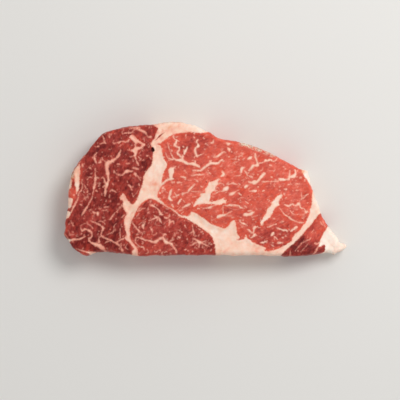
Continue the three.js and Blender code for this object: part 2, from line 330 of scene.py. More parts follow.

# Veins that swell and narrow on their way, each a run of (x, y, half width). Two along the rim are painted
# highlight: the last in the blunt end and the short one at the lower corner's tip.
BROAD_VEINS = {
    "blunt end": [
        [(-41.2, 22, 0.6), (-41.4, 20.5, 0.5), (-41.3, 18.7, 0.42), (-40.7, 16.4, 0.5),
         (-40.1, 15.1, 0.75), (-39.5, 14.1, 0.4)],
        [(-41.8, 19.6, 0.51), (-44.1, 18.9, 0.28)],
        [(-44.8, 29, 0.39), (-45.5, 28.1, 0.51), (-46.8, 27.7, 0.39), (-49.7, 28, 0.33),
         (-51.2, 27.1, 0.45), (-52.4, 27, 0.33), (-53.4, 26.6, 0.45), (-54.2, 27, 0.45),
         (-54.4, 27.8, 0.33), (-53.7, 28.6, 0.28)],
        [(-35, 32.3, 0.39), (-35.8, 33.4, 0.63), (-39.1, 34.9, 0.8), (-40.6, 35.4, 0.69),
         (-42.1, 34.7, 0.45), (-43.5, 33.4, 0.39), (-45.3, 32.9, 0.33), (-47.4, 33, 0.28)],
        [(-35.8, 33.6, 0.51), (-35, 32.3, 0.33), (-34.2, 31, 0.33), (-32.3, 30.6, 0.69)],
        [(-49.8, 22.7, 0.33), (-50.5, 21.1, 0.63), (-51.3, 19.3, 0.75), (-53.2, 17.4, 0.8),
         (-57.5, 15.1, 1.16), (-58, 13.2, 1.04), (-57.8, 10.5, 0.92), (-57.2, 7.6, 0.75),
         (-57.1, 5.2, 0.63), (-57.8, 3.5, 0.8), (-58.4, 1.1, 0.8), (-59, -2.7, 0.63), (-59.1, -4.1, 0.39)],
        [(-61.3, 6.4, 0.28), (-60.3, 6.9, 0.45), (-59.8, 5.8, 0.57), (-59.2, 4, 0.51), (-58.5, 2.9, 0.51)],
        [(-60.3, 1.1, 0.39), (-59.1, 1.8, 0.45)],
        [(-53.1, 9.6, 0.28), (-52.1, 8.6, 0.39), (-50.3, 8.2, 0.45), (-48.7, 8.3, 0.51),
         (-47.4, 9.3, 0.57), (-46.2, 10.2, 0.86), (-44.7, 10.3, 0.8), (-43.5, 10.3, 0.57),
         (-42.9, 10.4, 0.28)],
        [(-43, 12.5, 0.39), (-41.8, 12.3, 0.69), (-40.6, 11.9, 0.63), (-39.8, 11.6, 0.39)],
        [(-41.6, 9.4, 0.39), (-41.3, 8.4, 0.69), (-41.1, 7.6, 0.45)],
        [(-45.5, 2.4, 0.33), (-44.5, 1.7, 0.57), (-43.7, 0.7, 0.57), (-43.3, -0.7, 0.33)],
        [(-56.2, -1.6, 0.28), (-55, -0.8, 0.51), (-52.5, -1.8, 0.28)],
        [(-53.8, 10.6, 0.39), (-53.6, 10, 0.57), (-53, 9.6, 0.28)],
        [(-46.5, 15, 0.45), (-45.8, 14.9, 0.57), (-44.7, 15.1, 0.28)],
        [(-63.8, 21.4, 0.33), (-64.7, 20.2, 0.51), (-65.4, 18.7, 0.63), (-65, 17, 0.63),
         (-64.4, 15.8, 0.57), (-64, 15, 0.33)],
        [(-62.8, 15.5, 0.39), (-62, 15.7, 0.57), (-61.4, 15.8, 0.33)],
        [(-64.8, 8.4, 0.33), (-64.7, 6.4, 0.57), (-64.9, 4.3, 0.63), (-65.7, 0.9, 0.86),
         (-65.8, -0.4, 0.39), (-66.8, -4.8, 0.3), (-67.7, -6.8, 0.28), (-68.8, -8.9, 0.3)],
        [(-68.9, -9.2, 0.3), (-70.3, -11.2, 0.57), (-71.2, -13, 0.69), (-72.8, -16, 0.22)],
        [(-64.4, 6.6, 0.39), (-63.1, 6.6, 0.45)],
        [(-64.4, -0.7, 0.39), (-64, -1.3, 0.51)],
        [(-72.1, 2.9, 0.22), (-72.4, 1.1, 0.33), (-73.2, -1, 0.39), (-74.1, -2, 0.51),
         (-74.7, -3.6, 0.39), (-75.1, -5.7, 0.33), (-76.2, -8, 0.45), (-78.4, -12.1, 0.51),
         (-79.7, -14.2, 0.51)],
        [(-75.9, -2.2, 0.39), (-75.8, -2.9, 0.51)],
        [(-48.8, -9.2, 0.22), (-51.8, -12.7, 0.28), (-53.5, -14.5, 0.28), (-55.6, -17.4, 0.51),
         (-56.5, -17.9, 0.28)],
        [(-60, 30.8, 0.28), (-59.4, 27.3, 0.57), (-58.8, 27, 0.39)],
        # Painted highlight: a pale line along the upper rim, where the edge catches the light
        [(-44.7, 35.3, 0.28), (-40.3, 36.3, 0.57), (-38.5, 35.9, 0.39)],
    ],
    "lower corner": [
        [(-67.9, -18.7, 0.22), (-64.7, -19.8, 0.51), (-63, -20.7, 0.51), (-61.5, -21.7, 0.57),
         (-60.3, -23.2, 0.69), (-61.5, -26.2, 0.51), (-61.3, -27.3, 0.63), (-58, -29.4, 0.51),
         (-56.2, -30.1, 0.51), (-54.1, -31.3, 0.45), (-52.1, -32.1, 0.63), (-50.7, -33.2, 0.45),
         (-49.5, -34.8, 0.45), (-49, -36.3, 0.63)],
        [(-61.5, -27.7, 0.39), (-62.7, -28.7, 0.39), (-62.8, -31.4, 0.57)],
        [(-68.6, -29.1, 0.45), (-68.2, -30.7, 0.51), (-66, -32.2, 0.69), (-63.2, -33.1, 1.1),
         (-61.4, -34.2, 1.16), (-58.8, -36.7, 0.63)],
        [(-73.5, -21.4, 0.28), (-73.4, -23.1, 0.39), (-72.5, -24.4, 0.69), (-71.2, -23.7, 0.69),
         (-69.9, -23.9, 0.63), (-67.9, -24.8, 0.75), (-66.8, -26.1, 0.57), (-66.9, -27.7, 0.45),
         (-68.4, -29.1, 0.45)],
        [(-73.2, -21.1, 0.22), (-71.9, -20.5, 0.25), (-70.2, -20.1, 0.25), (-67.9, -21.4, 0.28),
         (-66.3, -23.1, 0.22)],
        [(-63.2, -19.2, 0.22), (-61.8, -18.8, 0.33), (-60.3, -19.4, 0.33), (-59.2, -20.7, 0.28)],
        [(-80.1, -30.4, 0.6), (-78.1, -29.8, 0.6), (-74.8, -29.6, 0.55), (-72.5, -28.9, 0.4),
         (-70.5, -27.9, 0.19)],
        [(-76.2, -35.4, 0.2), (-73.8, -35.9, 0.28), (-71.5, -36.5, 0.35), (-69.2, -37.3, 0.5)],
        # Painted highlight: a pale line along the rim at the corner's tip, where the edge catches the light
        [(-82.8, -26.1, 0.28), (-80.1, -30.2, 0.39)],
        [(-52.5, -31.8, 0.45), (-51.5, -30.7, 0.57), (-48.3, -29.1, 0.45)],
        [(-59.4, -32, 0.22), (-58, -31.1, 0.33), (-56.8, -30.8, 0.28)],
    ],
    "lower muscle": [
        [(-32.8, -9.4, 0.33), (-31.5, -9.6, 0.69), (-30.4, -10, 0.51), (-28.3, -11.7, 0.39),
         (-27.4, -12.5, 0.51), (-26.6, -14.7, 0.86), (-25.7, -15.1, 0.45)],
        [(-27.6, -16.5, 0.33), (-28.6, -16.7, 0.51), (-30, -17.2, 0.51), (-31.8, -18.2, 0.39),
         (-33, -18.4, 0.28)],
        [(-30, -15.7, 0.33), (-29, -16.5, 0.45), (-28.4, -18, 0.45), (-28.7, -19.1, 0.33)],
        [(-28.1, -16.5, 0.39), (-27.1, -17.7, 0.57), (-26.5, -18.9, 0.51), (-25.9, -20, 0.28)],
        [(-24.3, -16.5, 0.33), (-23.4, -17.1, 0.51), (-22.5, -17.1, 0.39), (-21.6, -16.2, 0.28),
         (-20.9, -14.8, 0.39)],
        [(-21.6, -17.9, 0.39), (-21, -19.2, 0.69), (-21.6, -21.8, 0.28)],
        [(-20.6, -19.4, 0.45), (-19.4, -18.9, 0.45), (-18.6, -19.4, 0.51), (-18.6, -20.4, 0.33)],
        [(-35.8, -19.2, 0.28), (-36.1, -20.7, 0.39), (-36.8, -21.8, 0.75), (-36.6, -23, 0.45)],
        [(-42.8, -20.4, 0.28), (-40.6, -23.2, 0.45), (-39.4, -24.6, 0.45), (-38.4, -25.7, 0.28)],
        [(-32.7, -22.7, 0.28), (-32, -23.9, 0.45), (-31.4, -25.1, 0.33)],
        [(-30.6, -27.1, 0.33), (-29.3, -26.7, 0.33), (-28.8, -25.7, 0.28)],
        [(-41, -28.6, 0.39), (-39.4, -28.5, 0.51), (-37.7, -29, 0.57), (-35.9, -29.9, 0.51),
         (-33.8, -30.5, 0.57), (-31.8, -30.9, 0.63), (-30, -31.2, 0.92), (-28.8, -30.8, 0.86),
         (-27.7, -29.8, 0.57), (-26.2, -29, 0.8), (-25, -28.9, 0.98), (-24.1, -30.4, 0.75),
         (-23, -31.4, 1.04), (-21.5, -31.7, 0.75), (-20, -32.6, 0.69), (-17.7, -35.7, 0.63),
         (-17.2, -37.4, 0.57)],
        [(-25, -28, 0.63), (-24.4, -27, 0.57), (-23.4, -26.8, 0.33)],
        [(-40.9, -29.2, 0.45), (-41.3, -30.7, 0.39), (-40.3, -32.7, 0.28), (-38.5, -34.1, 0.33),
         (-36.8, -34.2, 0.39), (-36.2, -35.7, 0.33)],
        [(-7.7, -21.2, 0.28), (-7.6, -23.3, 0.28), (-7.2, -24.9, 0.8), (-6.6, -25.9, 0.45),
         (-6.9, -27.4, 0.33)],
        [(-8, -25.2, 0.45), (-9.4, -25.9, 0.28)],
        [(-7.4, -29.4, 0.39), (-6.2, -29.7, 0.63), (-5, -30.4, 0.8), (-4.2, -31.2, 0.86),
         (-3, -31.5, 0.8), (-1.8, -31.2, 0.39), (0.3, -30.4, 0.33)],
        [(-3.7, -31.8, 0.51), (-4, -34.2, 0.33)],
        [(-5, -31.2, 0.33), (-7.4, -32.7, 0.33), (-9.1, -33.3, 0.28)],
        [(-16.2, -28.4, 0.45), (-15.3, -28.5, 0.45)],
        [(-12.5, -35.9, 0.45), (-11.5, -35.7, 0.45)],
        [(-37.7, -11.4, 0.28), (-36.5, -11.6, 0.39), (-35.6, -11.4, 0.28)],
    ],
    "eye": [
        [(-19, 31.2, 0.45), (-18.1, 29.1, 0.51), (-17, 28.6, 0.63), (-17.5, 27.3, 0.75),
         (-18.3, 25.8, 0.75), (-17, 25, 0.57), (-15.6, 24.4, 0.63), (-15.5, 23.3, 0.63),
         (-16.3, 21.9, 0.63), (-16.5, 20.9, 0.63), (-15.5, 19.8, 0.51), (-14.6, 19, 0.57)],
        [(-16.8, 28.6, 0.45), (-15.6, 27.9, 0.28)],
        [(-22.1, 18.2, 0.33), (-21.1, 17.8, 0.57), (-20, 17.3, 0.45), (-18.6, 17.6, 0.63),
         (-16.8, 16.9, 0.57), (-14.4, 16.9, 0.98), (-13, 16.1, 1.16), (-10.6, 14.9, 0.86),
         (-8.3, 14.9, 0.75), (-6.2, 14.3, 0.98), (-4.4, 13.3, 0.8), (-3.4, 12.6, 0.33)],
        [(-13.4, 19.4, 0.57), (-13.7, 18.2, 0.92), (-13.4, 16.7, 0.75)],
        [(-20.6, 21.7, 0.22), (-18.9, 18.2, 0.45)],
        [(-6.3, 16.4, 0.39), (-6, 14.9, 0.57)],
        [(-10.8, 24.3, 0.51), (-12.1, 21.7, 0.69), (-12.4, 20.7, 0.57)],
        [(-6.9, 30.8, 0.28), (-6.7, 29.9, 0.39)],
        [(-4.7, 28.9, 0.45), (-5.3, 27.9, 0.63), (-4.7, 26.6, 0.45), (-4.4, 25.6, 0.75),
         (-5.3, 24.5, 0.63), (-6.3, 23.3, 0.75), (-5.6, 20.2, 0.57), (-5, 19.2, 0.75), (-3.9, 19.6, 0.39),
         (-1, 21, 0.16)],
        [(4.8, 18.4, 0.39), (6.1, 18.7, 0.57), (7.6, 19.6, 0.8), (9.1, 20.7, 0.86), (10.3, 21.5, 0.75),
         (11.4, 21.6, 0.69), (12.2, 21.3, 0.33)],
        [(-7.4, 10.7, 0.39), (-3.9, 10.6, 0.63), (-2.5, 10.9, 0.69), (-1.5, 12, 0.69), (1.4, 14.2, 0.69),
         (3.2, 15, 0.8), (5, 14.9, 0.63), (6.7, 14.9, 0.75), (7.8, 15.3, 0.63), (8.8, 16.5, 0.51),
         (9.8, 17, 0.57)],
        [(3.4, 15.2, 0.57), (2.7, 16.2, 0.45), (3.3, 16.7, 0.22)],
        [(-8.3, 7.6, 0.28), (-7.1, 8, 0.51), (-0.9, 8.6, 0.22)],
        [(3.4, 26.9, 0.51), (4.4, 27.4, 0.51), (4.6, 29, 0.22)],
        [(12.3, 27, 0.28), (13.4, 26.4, 0.8), (14.1, 26.7, 0.39), (15.3, 26.4, 0.22)],
        [(13.1, 23.8, 0.51), (13.8, 23.1, 0.92), (14, 22.3, 0.39)],
        [(4.1, -3.1, 0.28), (5.6, -2.9, 0.28), (8.5, -1.4, 0.33), (9.7, -1.3, 0.39), (11.5, -0.1, 1.16),
         (12.6, 0.6, 1.04), (13.1, 1.2, 0.51)],
        [(7.6, 3.1, 0.39), (9.1, 3.3, 0.33), (10.4, 2.6, 0.28), (10.5, 1.7, 0.22)],
        [(14.1, -3.4, 0.45), (15, -3.2, 0.8), (17.3, -2, 0.63), (18.2, -1.3, 0.33), (19.7, -0.7, 0.22)],
        [(12.5, 2.9, 0.28), (13.5, 2.7, 0.57), (14.4, 2.9, 0.39), (16.1, 3.5, 0.69), (18.2, 2.7, 0.22)],
        [(19.4, 3.2, 0.28), (20.1, 2.6, 0.33)],
        [(17, 7.6, 0.22), (20, 8, 0.45), (20.6, 9, 0.33), (21.2, 11.7, 0.86), (22, 12.4, 0.63),
         (22.9, 12.5, 0.28)],
        [(22.9, 10.6, 0.28), (23.7, 9.9, 0.45), (24.1, 9, 0.45), (24.5, 7.9, 0.28)],
        [(25.2, 7.9, 0.28), (26.1, 7.7, 0.45), (27, 7.1, 0.45)],
        [(25.1, 17.7, 0.51), (26, 18.3, 0.8), (26.9, 18.9, 0.39)],
        [(29, 21.1, 0.33), (29, 19.8, 0.69), (30.1, 16.4, 0.45), (30.5, 14.9, 0.63), (30.4, 13.9, 0.92),
         (29.1, 13.9, 0.75), (27.9, 13.7, 0.8), (27, 12.3, 0.8), (26.1, 11.4, 0.8), (25.4, 10.9, 0.45)],
        [(31.1, 14.9, 0.45), (32.6, 15.3, 0.28), (34.1, 15.9, 0.45), (35, 16.6, 0.86), (36.1, 16.5, 0.57),
         (37.9, 17, 0.45), (38.8, 16.4, 0.51), (39.9, 16.2, 0.39), (41.1, 16.7, 0.39), (41.9, 17.9, 0.33)],
        [(25.5, 3.9, 0.75), (27.6, 3.7, 0.98), (29.7, 4, 0.98), (30.8, 4.7, 0.8), (34, 8.6, 0.8),
         (35, 8.9, 0.33)],
        [(23, 1, 0.45), (23.9, 1.5, 0.92), (24.5, 2.1, 0.39)],
        [(25.7, -1.4, 0.22), (29.1, -1.1, 0.69), (29.8, -0.8, 0.33)],
        [(19.4, -2.4, 0.39), (20.3, -3.2, 0.51), (20.8, -3.6, 0.28)],
        [(43.3, 5.6, 0.69), (44.9, 5.5, 0.86), (46.7, 5.3, 0.86), (48.5, 5.6, 0.86), (49.5, 6.9, 0.8),
         (50.8, 7.1, 0.98), (52, 7.6, 0.98), (52.7, 8.6, 0.75), (53.1, 9.9, 0.57), (52.8, 11, 0.45),
         (52.1, 11.2, 0.22)],
        [(49.2, 7.3, 0.63), (49.4, 10.2, 0.39), (49.7, 11.1, 0.22)],
        [(33.2, 4.3, 0.33), (34.7, 4.2, 0.39), (36.7, 4.5, 0.22), (38.5, 4.3, 0.39), (42.6, 4.6, 0.33)],
        [(46.8, -0.3, 0.57), (47.4, -0.1, 0.63)],
        [(46.4, -9.1, 0.28), (48.8, -10.1, 0.63), (49.7, -9.5, 0.45), (50.8, -8.8, 0.45),
         (52.3, -9.7, 0.45), (53.8, -9.4, 0.51), (54.9, -8.7, 0.8), (55.5, -9.5, 0.51), (56, -10.8, 0.39),
         (57, -11.5, 0.51), (57.9, -11.7, 0.39), (58.8, -12.7, 0.33), (59.1, -13.6, 0.63),
         (59.9, -13.3, 0.39)],
        [(55.2, -8, 0.33), (55.6, -6.8, 0.22), (57, -5.5, 0.39), (58.2, -5.1, 0.39), (59.1, -3.9, 0.33),
         (60.5, -3, 0.22)],
        [(56.4, -2.1, 0.22), (56.5, -4.2, 0.33), (57, -5.4, 0.33)],
        [(43.2, -11, 0.22), (46.1, -14.5, 0.39), (47.9, -16, 0.51), (49.9, -17.3, 0.51),
         (53.8, -19.4, 0.39), (56.1, -19.8, 0.39), (57.9, -19.7, 0.33)],
        [(36.4, -22.3, 0.28), (37.9, -22, 0.45), (39.7, -21.2, 0.51), (41.4, -20.8, 0.33)],
        [(41.6, -22.8, 0.33), (43.2, -23.5, 0.51), (45.2, -24.1, 0.51), (47.3, -24.4, 0.57),
         (48.2, -25.1, 0.33)],
        [(50.2, -24.8, 0.45), (53.2, -22.7, 0.69), (53.8, -22.4, 0.33)],
        [(-17.7, 13.3, 0.33), (-18.4, 12.6, 0.51), (-19.7, 11.7, 1.16), (-20.3, 10.5, 1.57),
         (-20.3, 9, 1.51), (-20.4, 7.6, 1.16), (-20.3, 6.2, 1.16)],
        [(-19, 6, 0.45), (-20.3, 5.9, 0.75), (-23, 4.9, 0.57), (-24.1, 4, 0.57), (-25.9, 2.3, 0.69)],
        [(-20, -0.5, 0.57), (-20.4, -1.3, 0.69), (-21.3, -4.8, 0.8), (-20.9, -6, 0.75),
         (-20.1, -6.7, 0.57), (-19.6, -7, 0.28)],
        [(-16.6, 3.6, 0.39), (-15.4, 3.9, 0.57), (-14.1, 3.6, 0.39)],
        [(-14.7, 7.4, 0.22), (-12.4, 6.7, 0.57), (-11.6, 6.3, 0.28)],
        [(-6.2, 5.6, 0.28), (-5.3, 4.9, 0.45), (-4.4, 4.3, 0.33)],
        [(-6.2, 2.9, 0.33), (-8.6, 0.5, 0.69), (-9.7, -0.7, 0.63), (-10.3, -1.8, 0.57),
         (-11.5, -2.1, 0.39), (-13, -2.6, 0.63), (-13.6, -3.3, 0.45)],
        [(-16.6, -3.6, 0.45), (-15.9, -3.4, 0.51)],
        [(-19, -4.5, 0.45), (-18.4, -4.8, 0.45)],
        [(-14.4, -6, 0.57), (-14.9, -6.7, 0.45), (-15.7, -7.7, 0.63), (-16.2, -8.5, 0.45)],
        [(-19.5, -9.4, 0.33), (-19, -10.4, 0.51)],
        [(-13.6, -11.1, 0.45), (-12.4, -10.5, 0.69), (-10.9, -9.7, 0.8), (-9.7, -9, 0.75),
         (-9.1, -8.8, 0.39)],
        [(-8.6, -1.4, 0.22), (-3.3, -1.5, 0.22)],
        [(-27.2, -2, 0.39), (-26.9, -2.4, 0.39)],
        [(-2.7, 1.6, 0.45), (-2.1, 1.2, 0.45)],
        [(10.3, -9.7, 0.22), (12.6, -9.8, 0.28), (14.4, -9.5, 0.51), (16.1, -9.7, 0.63),
         (19.4, -9.8, 0.39), (20.3, -11, 0.39), (21.4, -11.2, 0.51), (22.3, -11.4, 0.22)],
        [(-1.5, -11.5, 0.28), (1.1, -11, 0.28), (2.3, -11, 0.57), (4.7, -10, 0.28), (6.1, -9.6, 0.28)],
        [(-4.6, -11.4, 0.45), (-3.9, -11.4, 0.45)],
        [(10.1, -10.1, 0.28), (10.4, -14.8, 0.28)],
        [(6.7, -16.8, 0.45), (7.9, -16.1, 0.75), (10.5, -15.5, 0.57), (12, -15, 0.57),
         (14.7, -13.6, 0.51), (15.5, -13.1, 0.28)],
        [(22.3, -15.3, 0.45), (23.5, -15.1, 0.86), (25, -15, 0.98), (26.4, -14.6, 0.86),
         (27.6, -13.9, 0.69), (28.6, -13.4, 0.39)],
        [(30.5, -22, 0.33), (29.7, -22.4, 0.39), (28.7, -22.6, 0.8), (28.2, -23.9, 0.57),
         (28.2, -25.2, 0.45), (27.9, -25.9, 0.33)],
        [(29.7, -27.3, 0.45), (28.8, -27.1, 0.69), (27.9, -28, 0.45), (26.7, -28.5, 0.28)],
        [(24.4, -23.9, 0.33), (25.4, -24.3, 0.57), (26.4, -25.2, 0.51), (27.6, -25.8, 0.33)],
        [(20, -18.9, 0.33), (21.1, -20.1, 0.39), (22.3, -20.4, 0.57), (24.7, -21.7, 0.39)],
        [(55.5, 6.6, 0.51), (56.3, 6.8, 0.57)],
    ],
    "tail muscle": [
        [(52.9, -36.5, 0.23), (55.8, -33, 0.32), (57.3, -31.7, 0.32), (61.1, -29.9, 0.37),
         (62.3, -28.9, 0.23)],
        [(56.4, -37.1, 0.17), (59.4, -33.6, 0.26), (60.5, -32.1, 0.17)],
        [(64.6, -32.1, 0.39), (65.5, -32.5, 0.69), (66.7, -32.1, 0.57), (67.6, -31.2, 0.33)],
        [(67.2, -33.6, 0.33), (66.3, -34.8, 0.45), (65.4, -36.5, 0.45), (64.4, -38, 0.57)],
        [(67.9, -19.2, 0.33), (68.5, -20.7, 0.39), (69.3, -21.5, 0.33)],
        [(69.1, -18.6, 0.28), (69.9, -20.1, 0.33)],
    ],
}

# The muscles. Each has the corners of its ground (the eye has what the others leave), its
# tone from 0 (darkest) to 1 (palest), how white its thin veins are from 0 (pink) to 1, the
# turn of its grain in degrees from +X, and how many tiny flecks of fat it holds and how long.
MUSCLES = {
    "eye": {"ground": None, "tone": 0.7, "veins": 0.52, "grain": 20, "flecks": 400, "length": 0.8},
    "blunt end": {
        "ground": [(-26, 45), (-26, 34), (-29, 27), (-28.5, 20), (-31, 6), (-34, -5), (-44, -14), (-46, -28),
                   (-40, -45), (-95, -45), (-95, 45)],
        "tone": 0.2, "veins": 0.24, "grain": 70, "flecks": 270, "length": 0.7,
    },
    "lower muscle": {
        "ground": [(-31, -4.5), (-44, -14), (-46, -28), (-40, -45), (12, -45), (8, -30), (-3, -20),
                   (-8.5, -17.3), (-17, -13.8), (-23.4, -10.1), (-27, -7.1)],
        "tone": 0.34, "veins": 0.36, "grain": 40, "flecks": 180, "length": 0.8,
    },
    "tail muscle": {
        "ground": [(40, -45), (43, -36.8), (47.5, -34.4), (53, -29), (58, -23.5), (63.5, -16), (66, -8),
                   (64, 10), (95, 10), (95, -45)],
        "tone": 0.2, "veins": 0.25, "grain": 50, "flecks": 40, "length": 0.8,
    },
}

# Where the lean is paler (+) or darker (-) than its muscle: (x, y, reach, change)
TONE_PLACES = [
    (20, 22, 14, 0.04), (48, 2, 15, 0.06), (14, -12, 9, -0.06), (34, -28, 10, -0.26), (48, -28, 8, -0.18),
    (-8, 25, 11, -0.3), (-20, 14, 8, -0.03), (-12, -3, 8, 0.02), (5, 16, 7, 0.02), (0, -14, 8, -0.05),
    (-6, 7, 10, 0.12), (14, 4, 12, 0.07), (56, -12, 7, 0.02), (34, 10, 10, 0.02), (-50, 30, 9, 0.06),
    (-72, -12, 9, -0.02), (-68, -20, 6, 0.06), (-74, -26, 5, 0.04), (-74, -33, 6, -0.12),
    (-60, -33, 9, -0.1), (-52, -4, 7, -0.08), (-56, 24, 6, -0.03), (-36, 33, 4, 0.12),
    (-78.6, -2.4, 3.2, 0.6), (-81.5, -24, 3, 0.15), (-77, -27.5, 2.5, 0.15), (-72.5, -38.3, 2.5, 0.4),
    (-30, -14, 8, 0.05), (-12, -24, 9, -0.03), (2, -33, 5, -0.12), (-22, -37, 8, -0.06),
    (69, -20, 5, 0.62), (63, -27, 6, 0.3), (60, -38, 6, -0.12),
]

HEART_OF_VEIN = 0.12  # a broad vein is this much whiter in its middle
PLAIN_CREAM = 0.5  # the tint of a seam that has no tint of its own near

# Where the fat is pink (towards 0), cream (0.5) or nearly white (1): (x, y, reach, tint). The white at the
# cap's right end is painted highlight, and that on the knob is partly painted highlight.
FAT_PLACES = [
    # (-3, 36) is painted highlight: the cap's right end whitened where the lamp catches it
    (-16, 36, 7, 0.52), (-3, 36, 4, 0.8), (-30, 26, 4, 0.46), (-40.5, 25.5, 3, 0.3), (-29, 12, 6, 0.7),
    (-30.5, 2, 3, 0.3), (-34, -2, 5, 0.6), (-44, -14, 5, 0.5), (-46, -30, 6, 0.42), (-48, -5, 3, 0.34),
    (-76, 8, 6, 0.42), (-79.5, -8, 4, 0.6), (-79, 3, 4, 0.7), (-5, -18, 5, 0.66), (8, -27, 6, 0.66),
    (12, -36, 5, 0.5), (22, -34, 6, 0.6), (32, -36, 4, 0.52), (52, -30, 9, 0.62), (63, -14, 5, 0.68),
    # (60, 8) is partly the knob's own white fat, partly painted highlight
    (68, -9, 3, 1.0), (60, 8, 5, 0.95), (75, -30, 7, 0.92), (4, 0, 9, 0.66), (38, -12, 8, 0.72),
    (-66, -34, 5, 0.2), (-68, -39, 4, 0.7), (-81, -29, 4, 0.8), (-28, -28, 9, 0.36), (-50, 20, 12, 0.4),
    (28, 10, 14, 0.6),
]

# Where the rim stands out (+) or in (-): (x, y, reach, how far)
RIM_BUMPS = [
    (-66, 27, 9, -0.5), (-80, 2, 7, -0.8), (-52, 35, 6, -0.3), (-12, 39.5, 8, -0.3),
    (60.3, 10.6, 1.9, 1.7), (55.5, 12.8, 1.8, -0.6), (-60, -38, 6, -0.6), (62, 2, 3, -0.3),
    (66, -14, 6, 0.5), (83.3, -33, 2, 0.9), (79.9, -31.6, 1.6, -0.6), (76.7, -37.9, 1.2, 0.8),
    (73.5, -37.5, 1.8, -0.4), (-83.2, -23.6, 2.2, -1.2), (-83.6, -26.6, 1.3, 0.1), (-82, -12, 4, -0.4),
    (-81, -30.8, 3.5, -0.9), (50, 15.5, 4, -0.4), (-70, 22, 4, -0.3),
]

# Dry silvery skin left on the rim: (x, y, reach, strength). Lower down, on the side wall,
# scattered patches of it are fainter.
GUESSED_SKIN = 0.55
SKIN_PLACES = [(24, 26.5, 4, 1), (30, 24, 4.5, 1), (37, 20.5, 4, 0.7), (-79, 9, 2.5, 0.8)]
SKIN_EDGE = (3.0, 1.2)  # how far inside the rim it begins, and where it is full
OFF_LOWER_CUT = (-37, -33)  # the same by y, off the straight lower cut
OFF_TAIL_CUT = (66, 60)  # and by x, off the cut at the tail
DOWN_THE_WALL = (18.5, 14)  # and by height, for the scattered patches

FRESH_RIM = (2.8, 0.8)  # how far inside the rim the lean begins to be fresh, and is fully

# Small deep pits where the muscles part, each a run of (x, y, half width). Inside they are painted nearly
# black, as painted shade.
PITS = [
    [(-31.2, 23.8, 0.8), (-30.9, 22.7, 0.95)],
]

# Narrow dark red slits and spots of blood, each a run of (x, y, half width)
BLOOD = [
    [(-29.9, 28.2, 0.08), (-28.5, 29.6, 0.24), (-27, 31.1, 0.42), (-25.5, 32.4, 0.24), (-24.2, 33.4, 0.06)],
    [(0.3, 4.1, 0.45)],
    [(-7.9, 10.5, 0.3)],
    [(-0.1, -12, 0.25), (0.6, -13.8, 0.15)],
    [(25, -4.4, 0.35)],
    [(57.1, -18, 0.35)],
]

# Stains of orange on fat and rim: (x, y, reach, strength)
STAINS = [
    (-20.6, 36.9, 0.9, 0.6), (-21.6, 36.0, 0.8, 0.6), (-29.6, 2.6, 0.8, 0.5), (57.4, 10.2, 1.1, 0.8),
    (-78.5, 7.2, 1.1, 1.0), (-77, 10, 3, 0.2), (7.9, -37, 1.6, 0.4),
]


# ---- colours, soft steps and random waves ----

# Large odd numbers that mix a cell's numbers into one that looks random
SEED_FACTOR = 374761393
CELL_FACTORS = (73856093, 19349663, 83492791)
SHIFTS_AND_FACTORS = ((13, 1274126177), (15, 668265263))
LOW_BITS = 0x7FFFFFFF


def to_linear(colour):
    """An sRGB hex colour as the linear red, green, blue and alpha that a socket takes."""
    shares = [int(colour[i:i + 2], 16) / 255 for i in (1, 3, 5)]
    return [c / 12.92 if c <= 0.04045 else ((c + 0.055) / 1.055) ** 2.4 for c in shares] + [1.0]


def cell_value(cell, seed):
    """A fixed value from -1 to 1 for each whole-numbered cell, the same on every run."""
    mixed = np.full(cell.shape[:-1], seed * SEED_FACTOR, dtype=np.int64)
    for axis in range(cell.shape[-1]):
        mixed ^= cell[..., axis] * CELL_FACTORS[axis]
    for shift, factor in SHIFTS_AND_FACTORS:
        mixed = ((mixed ^ (mixed >> shift)) & LOW_BITS) * factor & LOW_BITS
    return mixed / (LOW_BITS // 2) - 1


def ripple(places, wavelength, seed):
    """Smooth random waves from -1 to 1, of about that length in mm, at two or three axes."""
    scaled = np.asarray(places, dtype=float) / wavelength
    cell = np.floor(scaled).astype(np.int64)
    share = scaled - cell
    share = share * share * (3 - 2 * share)
    total = np.zeros(scaled.shape[:-1])
    for corner in product((0, 1), repeat=scaled.shape[-1]):
        weight = np.prod(np.where(np.array(corner) == 1, share, 1 - share), axis=-1)
        total += weight * cell_value(cell + np.array(corner), seed)
    return total


def with_waves(base, places, waves):
    """base, with each set of random waves added to it."""
    for wavelength, height, seed in waves:
        base = base + height * ripple(places, wavelength, seed)
    return base


def wander(places, wavelength, reach, seed):
    """Random steps of up to reach in x and in y, which change smoothly over the places."""
    return np.column_stack([ripple(places, wavelength, seed), ripple(places, wavelength, seed + 1)]) * reach


def smooth_step(low, high, value):
    """From 0 at low to 1 at high, with soft ends. It falls where low is the larger."""
    share = np.clip((value - low) / (high - low), 0, 1)
    return share * share * (3 - 2 * share)


def spot(places, x, y, reach):
    """A soft round spot, 1 in its middle and faint from its reach outwards."""
    return np.exp(-((places[:, 0] - x) ** 2 + (places[:, 1] - y) ** 2) / reach ** 2)


def with_spots(base, places, spots):
    """base, with each spot's amount added round it."""
    for x, y, reach, amount in spots:
        base = base + amount * spot(places, x, y, reach)
    return base


# ---- the rim ----

def frame_skin():
    """The frame's solid as a bmesh in millimetres, with its corners joined up."""
    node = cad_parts["steak"]
    skin = bmesh.new()
    skin.from_mesh(node.data)
    skin.transform(Matrix.Scale(1 / MM, 4) @ node.matrix_world)
    bmesh.ops.remove_doubles(skin, verts=skin.verts, dist=JOINED)
    return skin


